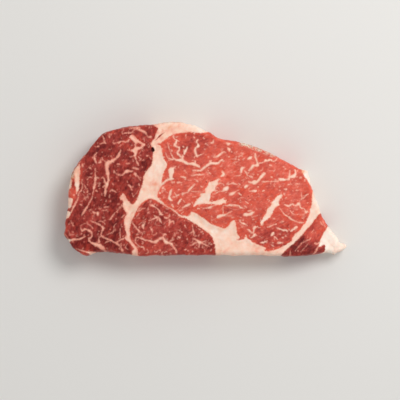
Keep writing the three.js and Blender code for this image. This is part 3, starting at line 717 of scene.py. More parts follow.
def rim_at(skin, height):
    """The solid's outline at this height, as x, y points in order, counterclockwise."""
    cut = skin.copy()
    everything = cut.verts[:] + cut.edges[:] + cut.faces[:]
    bmesh.ops.bisect_plane(
        cut, geom=everything, plane_co=(0, 0, height), plane_no=(0, 0, 1), clear_inner=True, clear_outer=True)
    cut.verts.ensure_lookup_table()
    first = here = cut.verts[0]
    edge = here.link_edges[0]
    loop = []
    while not loop or here != first:
        loop.append(here.co.xy[:])
        here = edge.other_vert(here)
        edge = next(other for other in here.link_edges if other != edge)
    cut.free()
    loop = np.array(loop)
    x, y = loop.T
    turn = np.sum(x * np.roll(y, -1) - y * np.roll(x, -1))
    return loop if turn > 0 else loop[::-1]


def even_loop(loop, count):
    """The same closed line with this many points at even distances."""
    closed = np.vstack([loop, loop[:1]])
    along = np.concatenate([[0], np.cumsum(np.hypot(*np.diff(closed, axis=0).T))])
    wanted = np.arange(count) * along[-1] / count
    return np.column_stack([np.interp(wanted, along, closed[:, axis]) for axis in (0, 1)])


def smooth_loop(values, reach):
    """Evens out values that run round the rim, over about this many points."""
    fade = np.exp(-2 * (np.pi * np.fft.fftfreq(len(values)) * reach) ** 2)
    fade = fade.reshape([-1] + [1] * (values.ndim - 1))
    return np.real(np.fft.ifft(np.fft.fft(values, axis=0) * fade, axis=0))


def inward_of(loop):
    """The unit direction into the slice at each point of the rim."""
    along = np.roll(loop, -1, axis=0) - np.roll(loop, 1, axis=0)
    inward = np.column_stack([-along[:, 1], along[:, 0]])
    inward /= np.hypot(*inward.T)[:, None]
    inward = smooth_loop(inward, EVEN_INWARD)
    return inward / np.hypot(*inward.T)[:, None]


def steak_rim(skin):
    """The widest outline with the small waves of a knife cut, and the directions inwards."""
    loop = smooth_loop(even_loop(rim_at(skin, RIM_HEIGHT), RIM_POINTS), EVEN_OUTLINE)
    outwards = with_spots(with_waves(0, loop, KNIFE_WAVES), loop, RIM_BUMPS)
    loop = loop - inward_of(loop) * outwards[:, None]
    return loop, inward_of(loop)


def room_inside(loop):
    """The share of their full way in that the rings may go at each rim point."""
    ahead = np.roll(loop, -TURN_SPAN, axis=0) - loop
    behind = loop - np.roll(loop, TURN_SPAN, axis=0)
    turn = np.arctan2(behind[:, 0] * ahead[:, 1] - behind[:, 1] * ahead[:, 0], np.sum(behind * ahead, axis=1))
    length = (np.hypot(*ahead.T) + np.hypot(*behind.T)) / 2
    radius = length / np.maximum(turn, LEAST_TURN)
    room = np.clip(radius * RADIUS_SHARE / (RIM_BULGE + SHOULDER_RADIUS), LEAST_ROOM, 1)
    for _ in range(ROOM_SPREAD):
        room = np.minimum(room, np.minimum(np.roll(room, 1), np.roll(room, -1)) + ROOM_GAIN)
    return smooth_loop(room, EVEN_ROOM)


# ---- the plan of the marbling ----

plan_x = np.arange(-HALF_LENGTH - PLAN_MARGIN, HALF_LENGTH + PLAN_MARGIN + PLAN_CELL, PLAN_CELL)
plan_y = np.arange(-HALF_WIDTH - PLAN_MARGIN, HALF_WIDTH + PLAN_MARGIN + PLAN_CELL, PLAN_CELL)


def lay_fat(plan, stroke):
    """Marks a stroke on the plan. The plan keeps how deep inside fat each cell lies, in mm."""
    for x, y, half in stroke:
        reach = half - CLEAR_OF_FAT
        columns = slice(*np.searchsorted(plan_x, (x - reach, x + reach)))
        rows = slice(*np.searchsorted(plan_y, (y - reach, y + reach)))
        depth = half - np.hypot(plan_x[columns][None, :] - x, plan_y[rows][:, None] - y)
        np.maximum(plan[rows, columns], depth, out=plan[rows, columns])


def soften(outline):
    """Cuts the outline's corners twice, so that it bends as soft fat does."""
    corners = np.array(outline, dtype=float)
    for _ in range(2):
        ahead = np.roll(corners, -1, axis=0)
        leaving = corners + (ahead - corners) * CORNER_SHARE
        arriving = ahead + (corners - ahead) * CORNER_SHARE
        corners = np.stack([leaving, arriving], axis=1).reshape(-1, 2)
    return corners


def lay_patch(plan, outline):
    """Marks a patch of fat on the plan by its outline."""
    corners = soften(outline)
    gap = np.full(plan.shape, FULL_DEPTH)
    within = np.zeros(plan.shape, dtype=bool)
    for start, end in zip(corners, np.roll(corners, -1, axis=0)):
        along = end - start
        low = np.minimum(start, end) - FULL_DEPTH
        high = np.maximum(start, end) + FULL_DEPTH
        columns = slice(*np.searchsorted(plan_x, (low[0], high[0])))
        rows = slice(*np.searchsorted(plan_y, (low[1], high[1])))
        x = plan_x[columns][None, :] - start[0]
        y = plan_y[rows][:, None] - start[1]
        share = np.clip((x * along[0] + y * along[1]) / (along @ along), 0, 1)
        reach = np.hypot(x - share * along[0], y - share * along[1])
        np.minimum(gap[rows, columns], reach, out=gap[rows, columns])
        crossed = slice(*np.searchsorted(plan_y, sorted((start[1], end[1]))))
        if along[1]:
            slope = along[0] / along[1]
            within[crossed] ^= plan_x < start[0] + (plan_y[crossed][:, None] - start[1]) * slope
    np.maximum(plan, np.where(within, gap, -gap), out=plan)


def smooth_run(points):
    """A smooth run through these points (of any size), with a point every STROKE_STEP."""
    points = np.array(points, dtype=float)
    ends = np.vstack([2 * points[:1] - points[1:2], points, 2 * points[-1:] - points[-2:-1]])
    run = []
    for before, start, end, after in zip(ends, ends[1:], ends[2:], ends[3:]):
        steps = max(2, int(np.hypot(*(end - start)[:2]) / STROKE_STEP))
        t = np.arange(steps)[:, None] / steps
        run.append(0.5 * (2 * start + (end - before) * t + (2 * before - 5 * start + 4 * end - after) * t ** 2
                          + (3 * start - before - 3 * end + after) * t ** 3))
    return np.vstack(run + [points[-1:]])


def uneven(stroke, seed):
    """A stroke with the small wanderings and swellings of real fat."""
    places, half = stroke[:, :2], stroke[:, 2]
    wandered = places + wander(places, WANDER_LENGTH, VEIN_WANDER, seed)
    swollen = half * (1 + VEIN_SWELLING * ripple(places, SWELLING_LENGTH, seed + 2))
    rough = swollen + VEIN_ROUGHNESS * ripple(places, ROUGHNESS_LENGTH, seed + 3)
    return np.column_stack([wandered, np.maximum(rough, THINNEST_VEIN)])


def vein_stroke(half, points):
    """A thin vein that narrows towards both ends."""
    run = smooth_run(points)
    share = np.linspace(0, 1, len(run))
    width = TIP_WIDTH + TIP_GAIN * np.minimum(1, TAPERS * np.minimum(share, 1 - share))
    return np.column_stack([run, half * width])


def inside(ground, places):
    """Whether each place lies inside the ground's corners."""
    x, y = places[..., 0], places[..., 1]
    within = np.zeros(x.shape, dtype=bool)
    for (x0, y0), (x1, y1) in zip(ground, ground[1:] + ground[:1]):
        if y0 == y1:
            continue
        crosses = (y0 > y) != (y1 > y)
        within ^= crosses & (x < x0 + (y - y0) * (x1 - x0) / (y1 - y0))
    return within


def muscle_of(places):
    """The number, in the order of MUSCLES, of the muscle that each place lies in."""
    found = np.zeros(places.shape[:-1], dtype=int)
    for number, muscle in enumerate(MUSCLES.values()):
        if muscle["ground"]:
            found[inside(muscle["ground"], places)] = number
    return found


def by_muscle(trait, places):
    """This trait of the muscle that each place lies in."""
    return np.array([muscle[trait] for muscle in MUSCLES.values()])[muscle_of(places)]


def straight_fleck(start, turn, length, half, bend):
    """A short tapered stroke from start, turned this far from +X, with a little bend."""
    along = np.array([np.cos(turn), np.sin(turn)]) * length
    side = np.array([-along[1], along[0]]) * bend
    run = smooth_run([start, start + along / 2 + side, start + along])
    share = np.linspace(0, 1, len(run))
    return np.column_stack([run, half * (1 - FLECK_TAPER * share ** 2)])


def grow_twigs(plan, strokes):
    """Fine side shoots, which make a vein of fat look torn rather than drawn."""
    rng = np.random.default_rng(TWIG_SEED)
    for stroke in strokes:
        spacing = int(TWIG_SPACING / STROKE_STEP)
        for place in range(rng.integers(spacing), len(stroke) - 1, spacing):
            x, y, half = stroke[place]
            ahead = stroke[place + 1] - stroke[place]
            turn = np.arctan2(ahead[1], ahead[0]) + rng.choice((-1, 1)) * rng.uniform(*TWIG_TURN)
            length = half + rng.uniform(*TWIG_LENGTH)
            width = rng.uniform(*TWIG_HALF)
            lay_fat(plan, straight_fleck((x, y), turn, length, width, rng.normal(0, TWIG_BEND)))


def scatter_flecks(plan):
    """Tiny flecks of fat in every muscle, mostly along its grain."""
    rng = np.random.default_rng(FLECK_SEED)
    corner = np.array((HALF_LENGTH, HALF_WIDTH))
    for number, muscle in enumerate(MUSCLES.values()):
        left = muscle["flecks"]
        while left:
            middle = rng.uniform(-corner, corner)
            if muscle_of(middle) != number:
                continue
            left -= 1
            turn = np.radians(muscle["grain"] + rng.normal(0, GRAIN_SPREAD))
            if rng.random() < THREAD_SHARE:
                length = rng.uniform(*THREAD_LENGTH)
                half = rng.uniform(*THREAD_HALF)
            else:
                length = muscle["length"] * rng.lognormal(*FLECK_LENGTHS)
                half = rng.uniform(*FLECK_HALF)
            half *= 1 + CLUSTER_GAIN * ripple(middle, CLUSTER_LENGTH, CLUSTER_SEED)
            lay_fat(plan, straight_fleck(middle, turn, length, half, rng.normal(0, FLECK_BEND)))


def marbling_plan():
    """The depth inside the seams, the veins (among them a few pale lines of painted highlight along the rim),
    the flecks, the pits and the spots of blood.
    """
    clear = np.full((len(plan_y), len(plan_x)), CLEAR_OF_FAT)
    plans = {name: clear.copy() for name in ("seam", "vein", "fleck", "pit", "blood")}
    for outline in PATCHES.values():
        lay_patch(plans["seam"], outline)
    thin = [vein_stroke(half, points) for veins in VEINS.values() for half, points in veins]
    broad = [smooth_run(points) for veins in BROAD_VEINS.values() for points in veins]
    for number, vein in enumerate(thin + broad):
        lay_fat(plans["vein"], uneven(vein, VEIN_SEED + SEEDS_EACH * number))
    shores = [np.insert(soften(PATCHES[name]), 2, SHORE_HALF, axis=1) for name in VEIN_PATCHES]
    grow_twigs(plans["fleck"], thin + [smooth_run(shore) for shore in shores])
    scatter_flecks(plans["fleck"])
    for pit in PITS:
        lay_fat(plans["pit"], smooth_run(pit))
    for line in BLOOD:
        lay_fat(plans["blood"], smooth_run(line) if len(line) > 1 else line)
    return plans


def read_plan(plan, places):
    """The plan's value at each place, blended between its cells."""
    short_of_end = 1.001  # so that each place has a cell after its own
    column = np.clip((places[:, 0] - plan_x[0]) / PLAN_CELL, 0, len(plan_x) - short_of_end)
    row = np.clip((places[:, 1] - plan_y[0]) / PLAN_CELL, 0, len(plan_y) - short_of_end)
    i, j = row.astype(int), column.astype(int)
    a, b = row - i, column - j
    return ((1 - a) * ((1 - b) * plan[i, j] + b * plan[i, j + 1])
            + a * ((1 - b) * plan[i + 1, j] + b * plan[i + 1, j + 1]))


# ---- the skin of the slice ----

class Rim:
    """The rim's points with a fast search for the nearest, and the level of the face inside."""

    def __init__(self, skin):
        self.loop, self.inward = steak_rim(skin)
        self.room = room_inside(self.loop)
        self.tree = KDTree(len(self.loop))
        for number, (x, y) in enumerate(self.loop):
            self.tree.insert((x, y, 0), number)
        self.tree.balance()
        self.level = self.measured_level(skin)

    def nearest(self, places):
        """For each place, the nearest rim point and how far inside the rim the place lies."""
        number = np.array([self.tree.find((x, y, 0))[1] for x, y in places])
        gap = places - self.loop[number]
        depth = np.sum(gap * self.inward[number], axis=1)
        return number, np.where(depth > 0, np.hypot(*gap.T), depth)

    def powers(self, places):
        """The terms of a smooth surface over the slice."""
        x, y = places[:, 0] / LEVEL_SPAN[0], places[:, 1] / LEVEL_SPAN[1]
        orders = range(LEVEL_ORDER + 1)
        return np.column_stack([x ** i * y ** j for i in orders for j in orders if i + j <= LEVEL_ORDER])

    def measured_level(self, skin):
        """The broad swell of the frame's upper face, as a smooth surface through soundings."""
        upper = BVHTree.FromBMesh(skin)
        columns, rows = (range(-half, half + 1, SOUNDING_GAP) for half in (HALF_LENGTH, HALF_WIDTH))
        grid = np.array(list(product(columns, rows)), dtype=float)
        grid = grid[self.nearest(grid)[1] > LEVEL_EDGE]
        down = Vector((0, 0, -1))
        heights = [upper.ray_cast(Vector((x, y, ABOVE_ALL)), down)[0].z for x, y in grid]
        return np.linalg.lstsq(self.powers(grid), np.array(heights), rcond=None)[0]

    def level_at(self, places, number, depth):
        """The height of the broad swell. Close to the rim it keeps the height further in."""
        moved = places + self.inward[number] * np.maximum(0, LEVEL_EDGE - depth)[:, None]
        return self.powers(moved) @ self.level


def relief(plans, places):
    """What the knife and the muscles leave on the cut face, above and below its level. Each
    step begins and is full at a depth inside the fat, in mm."""
    seam, vein, pit, slit = (read_plan(plans[name], places) for name in ("seam", "vein", "pit", "blood"))
    sunken_seam = -SEAM_SINK * smooth_step(-0.2, 2.6, seam)
    groove = -GROOVE_DEPTH * np.exp(-((seam - 0.1) / GROOVE_HALF) ** 2)
    proud_vein = VEIN_RISE * smooth_step(-0.1, 0.8, vein)
    lean = smooth_step(0.3, -0.3, np.maximum(seam, vein))
    swell = with_waves(0, places, FACE_SWELL)
    grain = lean * with_waves(0, places, LEAN_GRAIN)
    waxy = (1 - lean) * WAX_RISE * ripple(places, WAX_LENGTH, WAX_SEED)
    opened = -PIT_DEPTH * smooth_step(-0.3, 0.7, pit) - SLIT_DEPTH * smooth_step(-0.2, 0.4, slit)
    return sunken_seam + groove + proud_vein + swell + grain + waxy + opened


def shoulder_drop(inset):
    """How far the rounded shoulder has fallen below the face, this far inside the rim."""
    across = np.clip(1 - (inset - RIM_BULGE) / SHOULDER_RADIUS, 0, 1)
    return SHOULDER_RADIUS * (1 - np.sqrt(1 - across ** 2))


def rim_rings(rim, plans):
    """The rings from the foot to the shoulder, as an array of rings by points by x, y, z."""
    start = np.arange(len(rim.loop))
    inner = rim.loop + rim.inward * (rim.room * (RIM_BULGE + SHOULDER_RADIUS))[:, None]
    level = rim.level_at(rim.loop, start, np.zeros(len(start))) + relief(plans, inner)
    shapes = []
    for turn in np.linspace(0, np.pi / 2, FOOT_STEPS, endpoint=False):
        height = np.full(len(start), FOOT_RADIUS * (1 - np.cos(turn)))
        shapes.append((RIM_BULGE + FOOT_RADIUS * (1 - np.sin(turn)), height))
    for share in np.linspace(0, 1, SIDE_STEPS + 1):
        height = FOOT_RADIUS + (level - SHOULDER_RADIUS * rim.room - FOOT_RADIUS) * share
        shapes.append((RIM_BULGE * (1 - np.sin(np.pi * share)), height))
    for turn in np.linspace(0, SHOULDER_TURN, SHOULDER_STEPS + 1)[1:]:
        inset = RIM_BULGE + SHOULDER_RADIUS * (1 - np.cos(turn))
        shapes.append((inset, level - SHOULDER_RADIUS * rim.room * (1 - np.sin(turn))))
    rings = []
    for inset, height in shapes:
        ring = rim.loop + rim.inward * (inset * rim.room)[:, None]
        solid = np.column_stack([ring, height])
        side = smooth_step(0, SIDE_FADE, height) * smooth_step(0, SIDE_FADE, level - height)
        ridges = RIDGE_HEIGHT * ripple(solid * RIDGE_SHAPE, RIDGE_WIDTH, RIDGE_SEED)
        swell = SWELL_HEIGHT * ripple(solid, SWELL_WIDTH, SWELL_SEED)
        solid[:, :2] -= rim.inward * (side * (ridges + swell))[:, None]
        rings.append(solid)
    return np.array(rings)


def lattice_inside(rim, spacing, clearance):
    """Points in a pattern of even triangles, at least this far inside the rim."""
    row_gap = spacing * np.sqrt(3) / 2
    rows = np.arange(-HALF_WIDTH - BEYOND_RIM, HALF_WIDTH + BEYOND_RIM, row_gap)
    columns = np.arange(-HALF_LENGTH - BEYOND_RIM, HALF_LENGTH + BEYOND_RIM, spacing)
    x, y = np.meshgrid(columns, rows)
    x = x + (np.arange(len(rows)) % 2)[:, None] * spacing / 2
    places = np.column_stack([x.ravel(), y.ravel()])
    number, depth = rim.nearest(places)
    kept = depth > clearance * rim.room[number] + spacing * BESIDE_RING
    return places[kept], number[kept], depth[kept]


def sheet_faces(ring, places):
    """Triangles that join a closed ring and the points inside it, as numbers into both."""
    flat = np.vstack([ring[:, :2], places])
    edges = [(i, (i + 1) % len(ring)) for i in range(len(ring))]
    only_inside, nearness = 1, 1e-6  # no faces outside the ring; closer points are one
    _, _, faces, origins, _, _ = delaunay_2d_cdt([Vector(p) for p in flat], edges, [], only_inside, nearness)
    return [[origins[corner][0] for corner in face] for face in faces]


def steak_mesh(rim, plans):
    """Every vertex and face of the slice, in millimetres, as one closed skin."""
    rings = rim_rings(rim, plans)
    count = len(rim.loop)
    clearance = RIM_BULGE + SHOULDER_RADIUS * (1 - np.cos(SHOULDER_TURN))
    places, number, depth = lattice_inside(rim, CUT_FACE_MESH, clearance)
    room = rim.room[number]
    face_z = (rim.level_at(places, number, depth) + relief(plans, places)
              - shoulder_drop(depth / room) * room)
    under, _, _ = lattice_inside(rim, UNDERSIDE_MESH, RIM_BULGE + FOOT_RADIUS)
    ring_total = len(rings) * count
    upper_sheet = np.column_stack([places, face_z])
    lower_sheet = np.column_stack([under, np.zeros(len(under))])
    vertices = np.vstack([rings.reshape(-1, 3), upper_sheet, lower_sheet])

    faces = []
    for low in range(0, ring_total - count, count):
        for i in range(count):
            j = (i + 1) % count
            faces.append((low + i, low + j, low + count + j, low + count + i))
    top_ring = ring_total - count
    for face in sheet_faces(rings[-1], places):
        faces.append([top_ring + i if i < count else ring_total + i - count for i in face])
    for face in sheet_faces(rings[0], under):
        faces.append([i if i < count else ring_total + len(places) + i - count for i in reversed(face)])
    return vertices, faces


# ---- what the eye sees at each point ----

def place_on_plan(vertices):
    """Where on the plan each vertex looks. The marbling drifts sideways down through the slice."""
    level = vertices[:, 2].max()
    share = np.clip(1 - vertices[:, 2] / level, 0, 1)[:, None]
    flat = vertices[:, :2]
    drift = smooth_step(DRIFT_FROM, 1, share) * (DRIFT + wander(flat, *DRIFT_WANDER))
    return flat + drift + wander(vertices, *RAGGED_EDGE) + wander(vertices, *TORN_EDGE)


def nearby(places, spots, base):
    """base, with each spot's value blended in round it."""
    weight_of_base = 0.02
    total = np.full(len(places), base * weight_of_base)
    weights = np.full(len(places), weight_of_base)
    for x, y, reach, value in spots:
        weight = spot(places, x, y, reach)
        total += weight * value
        weights += weight
    return total / weights


def fat_tint(places, seam, vein):
    """How white the fat is: the seams by their place, the veins by their muscle and width."""
    veins = by_muscle("veins", places) + HEART_OF_VEIN * smooth_step(0.2, 0.9, vein)
    return veins + (nearby(places, FAT_PLACES, PLAIN_CREAM) - veins) * smooth_step(-1.2, 0, seam)


def lean_tone(places):
    """How pale the lean is: by its muscle, its place and a slight unevenness."""
    return with_waves(with_spots(by_muscle("tone", places), places, TONE_PLACES), places, TONE_WAVES)


def dry_skin(vertices, depth):
    """How much of the silvery skin covers each vertex: patches on the natural rim only, so
    neither on the straight lower cut nor on the one at the tail."""
    flat, height = vertices[:, :2], vertices[:, 2]
    at_rim = smooth_step(*SKIN_EDGE, depth)
    natural = smooth_step(*OFF_LOWER_CUT, flat[:, 1]) * smooth_step(*OFF_TAIL_CUT, flat[:, 0])
    below = smooth_step(*DOWN_THE_WALL, height)
    patches = smooth_step(0.0, 0.7, with_waves(0, vertices, SKIN_WAVES)) * below * GUESSED_SKIN
    for x, y, reach, strength in SKIN_PLACES:
        patches = np.maximum(patches, strength * smooth_step(0.1, 0.6, spot(flat, x, y, reach)))
    return at_rim * natural * patches


def grain_axes(places, vertices):
    """Coordinates in mm along and across each muscle's grain, and down through the slice."""
    turns = np.radians(by_muscle("grain", places))
    x, y = vertices[:, 0], vertices[:, 1]
    along = np.cos(turns) * x + np.sin(turns) * y
    across = np.cos(turns) * y - np.sin(turns) * x
    return np.column_stack([along, across, vertices[:, 2] * DRAWN_OUT])


def make_steak():
    """The slice as one mesh, with the values that its material reads stored at every vertex."""
    skin = frame_skin()
    rim = Rim(skin)
    skin.free()
    plans = marbling_plan()
    vertices, faces = steak_mesh(rim, plans)
    mesh = bpy.data.meshes.new("raw_steak")
    mesh.from_pydata((vertices * MM).tolist(), [], faces)
    mesh.update()
    mesh.shade_smooth()

    places = place_on_plan(vertices)
    depth = rim.nearest(vertices[:, :2])[1]
    values = {name: read_plan(plan, places) for name, plan in plans.items()}
    values["tone"] = lean_tone(places)
    values["tint"] = fat_tint(places, values["seam"], values["vein"])
    values["stain"] = with_spots(np.zeros(len(places)), places, STAINS)
    values["rim"] = smooth_step(*FRESH_RIM, depth)
    values["dry_skin"] = dry_skin(vertices, depth)
    for name, value in values.items():
        mesh.attributes.new(name, "FLOAT", "POINT").data.foreach_set("value", value.astype(np.float32))
    grain = grain_axes(places, vertices).astype(np.float32).ravel()
    mesh.attributes.new("grain", "FLOAT_VECTOR", "POINT").data.foreach_set("vector", grain)
    mesh.materials.append(raw_beef(list(values)))

    steak = bpy.data.objects.new("raw_steak", mesh)
    bpy.context.scene.collection.objects.link(steak)
    return steak


# ---- materials ----

# The beef's colours. Those of the lean are by its tone, from 0 (darkest) to 1 (palest), and
# those of the fat by its tint, from 0 (pink) to 1 (nearly white).
LEAN_COLOURS = {0: "#671C1B", 0.2: "#8E312B", 0.4: "#AE433A", 0.6: "#C95445", 0.8: "#D95F4C", 1: "#E87663"}
FAT_COLOURS = {0: "#E0917C", 0.25: "#EDA28C", 0.5: "#F5C7AF", 1: "#F9E8DA"}
BLOOM = "#FFE6D8"  # turns lean that has met the air a little redder
STAIN_COLOUR = "#E89A70"
SKIN_COLOURS = ("#B5927C", "#E6D2BC")  # between its flakes, and on them
BLOOD_COLOUR = "#98261C"
# Painted shade: the nearly black inside of a deep narrow pit
PIT_SHADE_COLOUR = "#3A0806"

# Soft patterns in the meat: the size of their grains in mm, how much finer detail they hold,
# and how fast they change along the muscle's grain, beside 1 across it. Real fibres are under
# 0.1 mm thick, too fine to show, so they are drawn at 0.9 mm.
PATTERNS = {
    "torn edges": (0.8, 3.0, 1),
    "specks_and_glints": (1.5, 1.0, 0.6),
    "patches": (5.0, 2.0, 1),
    "bundles": (2.0, 2.0, 0.7),
    "fibres": (0.9, 2.0, 0.6),
    "bloom": (3.0, 2.0, 1),
    "skin": (1.6, 3.0, 1),
    "flakes": (0.9, 2.0, 1),
    "gloss": (1.4, 2.0, 1),
}


def add(tree, kind, inputs=(), **settings):
    """Adds a node with its settings. An input is a value, or a link from a socket or from a
    node's first socket."""
    made = tree.nodes.new(kind)
    for name, value in settings.items():
        setattr(made, name, value)
    for socket, value in dict(inputs).items():
        if isinstance(value, bpy.types.Node):
            value = value.outputs[0]
        if isinstance(value, bpy.types.NodeSocket):
            tree.links.new(value, made.inputs[socket])
        else:
            made.inputs[socket].default_value = value
    return made


def raw_beef(value_names):
    """Raw beef and its fat, cut across the fibres with a knife: moist and satin, the lean
    mottled by its bundles of fibres, the fat waxy, with soft light glowing a little way in.
    It reads the values of these names at each vertex, and "grain"."""
    beef = bpy.data.materials.new("raw_beef_cut_across")
    beef.use_nodes = True
    tree = beef.node_tree
    tree.nodes.clear()
    read = {name: add(tree, "ShaderNodeAttribute", attribute_name=name).outputs["Fac"]
            for name in value_names}
    grain = add(tree, "ShaderNodeAttribute", attribute_name="grain").outputs["Vector"]
    pattern = {}
    for name, (size, detail, along) in PATTERNS.items():
        scale = (along / size, 1 / size, 1 / size)
        scaled = add(tree, "ShaderNodeVectorMath", {0: grain, 1: scale}, operation="MULTIPLY")
        pattern[name] = add(tree, "ShaderNodeTexNoise", {"Vector": scaled, "Scale": 1.0, "Detail": detail})
    centred = {}
    for name in ("torn edges", "bundles", "fibres", "patches", "bloom"):
        centred[name] = add(tree, "ShaderNodeMath", {0: pattern[name], 1: 0.5}, operation="SUBTRACT")

    # Soft edges of what is read and of the patterns: where each begins, where it is full and
    # how strong it is there. Those of the fat are first torn by so much of a pattern.
    edges = {
        "specks_and_glints": (pattern["specks_and_glints"], 0.55, 0.75, 0.3),
        "bloom": (pattern["bloom"], 0.45, 0.7, 1),
        "skin": (pattern["skin"], 0.3, 0.6, 1),
        "flakes": (pattern["flakes"], 0.35, 0.65, 1),
        "beside fat": (read["seam"], -2.2, -0.3, 1),
        "blood": (read["blood"], -0.25, 0.25, 1),
        "pit": (read["pit"], -0.3, 0.4, 1),
    }
    for name, torn, low, high, top in (
            ("seam", 1.3, -0.45, 0.4, 1), ("vein", 1.0, -0.4, 0.55, 0.96), ("fleck", 1.2, -0.4, 0.45, 0.62)):
        edge = {0: centred["torn edges"], 1: torn, 2: read[name]}
        edges[name] = (add(tree, "ShaderNodeMath", edge, operation="MULTIPLY_ADD"), low, high, top)
    deepest = add(tree, "ShaderNodeMath", {0: read["seam"], 1: read["vein"]}, operation="MAXIMUM")
    edges["thin fat"] = (deepest, 0.9, 0.1, 0.12)
    share = {}
    for name, (value, low, high, top) in edges.items():
        step = {"Value": value, "From Min": low, "From Max": high, "To Max": top}
        share[name] = add(tree, "ShaderNodeMapRange", step, interpolation_type="SMOOTHSTEP")
    # Pale specks in the lean, more where it is paler: partly flecks of fat, partly painted glints of the wet
    # surface
    fat = add(tree, "ShaderNodeMath", {0: share["specks_and_glints"], 1: read["tone"]}, operation="MULTIPLY")
    for name in ("fleck", "vein", "seam"):
        fat = add(tree, "ShaderNodeMath", {0: fat, 1: share[name]}, operation="MAXIMUM")

    # Lean: the tone of its muscle, mottled, and fresher beside the fat and at the rim
    fresh = add(tree, "ShaderNodeMath", {0: share["beside fat"], 1: read["rim"]}, operation="MAXIMUM")
    tone = read["tone"]
    for mottle, strength in (
            (centred["bundles"], 0.62), (centred["fibres"], 0.45), (centred["patches"], 0.5), (fresh, 0.12)):
        tone = add(tree, "ShaderNodeMath", {0: mottle, 1: strength, 2: tone}, operation="MULTIPLY_ADD")

    # Fat: cream, with pink lean showing through where it is thin
    waxy = {0: centred["bloom"], 1: 0.8, 2: read["tint"]}
    waxy = add(tree, "ShaderNodeMath", waxy, operation="MULTIPLY_ADD")
    waxy = add(tree, "ShaderNodeMath", {0: waxy, 1: share["thin fat"]}, operation="SUBTRACT")

    lean = add(tree, "ShaderNodeValToRGB", {"Fac": tone})
    cream = add(tree, "ShaderNodeValToRGB", {"Fac": waxy})
    for ramp, colours in ((lean, LEAN_COLOURS), (cream, FAT_COLOURS)):
        stops = ramp.color_ramp.elements
        for place in list(colours)[1:-1]:
            stops.new(place)
        for stop, colour in zip(stops, colours.values()):
            stop.color = to_linear(colour)

    # The layers of colour, each over the ones before. A Mix node's colours are its sockets 6
    # and 7, and its result is output 2.
    bloomed = add(tree, "ShaderNodeMath", {0: fresh, 1: share["bloom"]}, operation="MAXIMUM")
    colour = add(tree, "ShaderNodeMix", {0: bloomed, 6: lean, 7: to_linear(BLOOM)},
                 data_type="RGBA", blend_type="MULTIPLY").outputs[2]
    flaky = {0: share["flakes"], 6: to_linear(SKIN_COLOURS[0]), 7: to_linear(SKIN_COLOURS[1])}
    flaky = add(tree, "ShaderNodeMix", flaky, data_type="RGBA").outputs[2]
    skin = add(tree, "ShaderNodeMath", {0: read["dry_skin"], 1: share["skin"]}, operation="MULTIPLY")
    for cover, layer in (
            (fat, cream), (read["stain"], to_linear(STAIN_COLOUR)), (skin, flaky),
            (share["blood"], to_linear(BLOOD_COLOUR)), (share["pit"], to_linear(PIT_SHADE_COLOUR))):
        colour = add(tree, "ShaderNodeMix", {0: cover, 6: colour, 7: layer}, data_type="RGBA").outputs[2]

    rough = add(tree, "ShaderNodeMath", {0: pattern["gloss"], 1: 0.22, 2: 0.36}, operation="MULTIPLY_ADD")
    height = 0.0
    for raised, amount in ((pattern["bundles"], 0.6), (pattern["fibres"], 0.4), (fat, 0.12)):
        height = add(tree, "ShaderNodeMath", {0: raised, 1: amount, 2: height}, operation="MULTIPLY_ADD")
    bump = add(tree, "ShaderNodeBump", {"Height": height, "Strength": 0.5, "Distance": 0.35 * MM})
    surface = add(tree, "ShaderNodeBsdfPrincipled", {
        "Base Color": colour, "Roughness": rough, "Normal": bump, "IOR": 1.4, "Specular IOR Level": 0.2,
        "Subsurface Weight": 0.15, "Subsurface Radius": (1.0, 0.35, 0.25), "Subsurface Scale": 0.5 * MM})
    add(tree, "ShaderNodeOutputMaterial", {"Surface": surface})
    return beef


def matt_paper():
    """Matt seamless paper, the plain pale studio floor."""
    paper = bpy.data.materials.new("matt_studio_paper")
    paper.use_nodes = True
    surface = paper.node_tree.nodes["Principled BSDF"]
    surface.inputs["Base Color"].default_value = to_linear("#DEDCD8")
    surface.inputs["Roughness"].default_value = 0.9
    return paper


# ---- the studio, in metres ----

CAMERA_HEIGHT = 1.0  # above the floor
FRAME_LENGTH = 0.238  # that the picture spans at half the steak's height
FRAME_LEVEL = 0.010
CAMERA_OVER = (-0.0033, -0.0065)
FLOOR_HALF = 1.5
WALL_LIGHT = 0.74
CEILING_LIGHT = 0.15  # of the walls' light
CEILING_FROM, CEILING_FULL = 0.8, 0.96  # how high, from 0 at the horizon to 1 overhead
SOFTBOX_SIZE = 0.5
SOFTBOX_PLACE = (0.45, 0.45, 0.85)
SOFTBOX_WATTS = 6.2


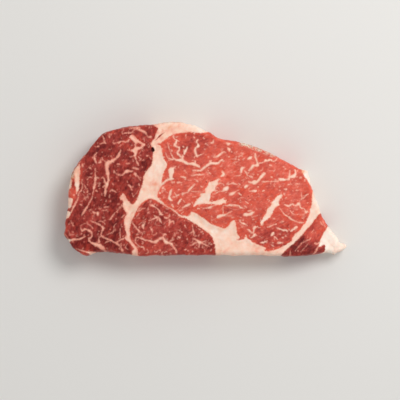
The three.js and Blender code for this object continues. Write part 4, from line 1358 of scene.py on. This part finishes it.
def make_floor():
    """One wide level sheet of paper under the steak."""
    floor = bpy.data.meshes.new("floor")
    corners = [(x * FLOOR_HALF, y * FLOOR_HALF, 0) for x, y in ((-1, -1), (1, -1), (1, 1), (-1, 1))]
    floor.from_pydata(corners, [], [(0, 1, 2, 3)])
    floor.materials.append(matt_paper())
    paper = bpy.data.objects.new("floor", floor)
    bpy.context.scene.collection.objects.link(paper)


def light_studio():
    """Even white light from the walls, a dark ceiling that leaves the meat its deep colour,
    and a large soft lamp from the upper right of the picture."""
    world = bpy.data.worlds.new("studio")
    world.use_nodes = True
    tree = world.node_tree
    tree.nodes.clear()
    towards = add(tree, "ShaderNodeTexCoord").outputs["Generated"]
    upwards = add(tree, "ShaderNodeSeparateXYZ", {0: towards}).outputs["Z"]
    fade = {"Value": upwards, "From Min": CEILING_FROM, "From Max": CEILING_FULL,
            "To Min": 1.0, "To Max": CEILING_LIGHT}
    walls = add(tree, "ShaderNodeMapRange", fade, interpolation_type="SMOOTHSTEP")
    around = add(tree, "ShaderNodeBackground", {"Color": walls, "Strength": WALL_LIGHT})
    add(tree, "ShaderNodeOutputWorld", {"Surface": around})
    bpy.context.scene.world = world
    lamp = bpy.data.lights.new("softbox", "AREA")
    lamp.shape = "DISK"
    lamp.size = SOFTBOX_SIZE
    lamp.energy = SOFTBOX_WATTS
    softbox = bpy.data.objects.new("softbox", lamp)
    softbox.location = SOFTBOX_PLACE
    softbox.rotation_euler = (-softbox.location).to_track_quat("-Z", "Y").to_euler()
    bpy.context.scene.collection.objects.link(softbox)


def set_camera():
    """Straight overhead, with the fat cap at the top of the picture."""
    lens = bpy.data.cameras.new("overhead")
    lens.lens = lens.sensor_width * (CAMERA_HEIGHT - FRAME_LEVEL) / FRAME_LENGTH
    lens.clip_end = 10
    overhead = bpy.data.objects.new("overhead", lens)
    overhead.location = (*CAMERA_OVER, CAMERA_HEIGHT)
    bpy.context.scene.collection.objects.link(overhead)
    bpy.context.scene.camera = overhead


set_camera()
light_studio()
make_floor()
steak = make_steak()
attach(steak, "root")
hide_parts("steak")
bpy.context.scene.view_settings.view_transform = "Standard"
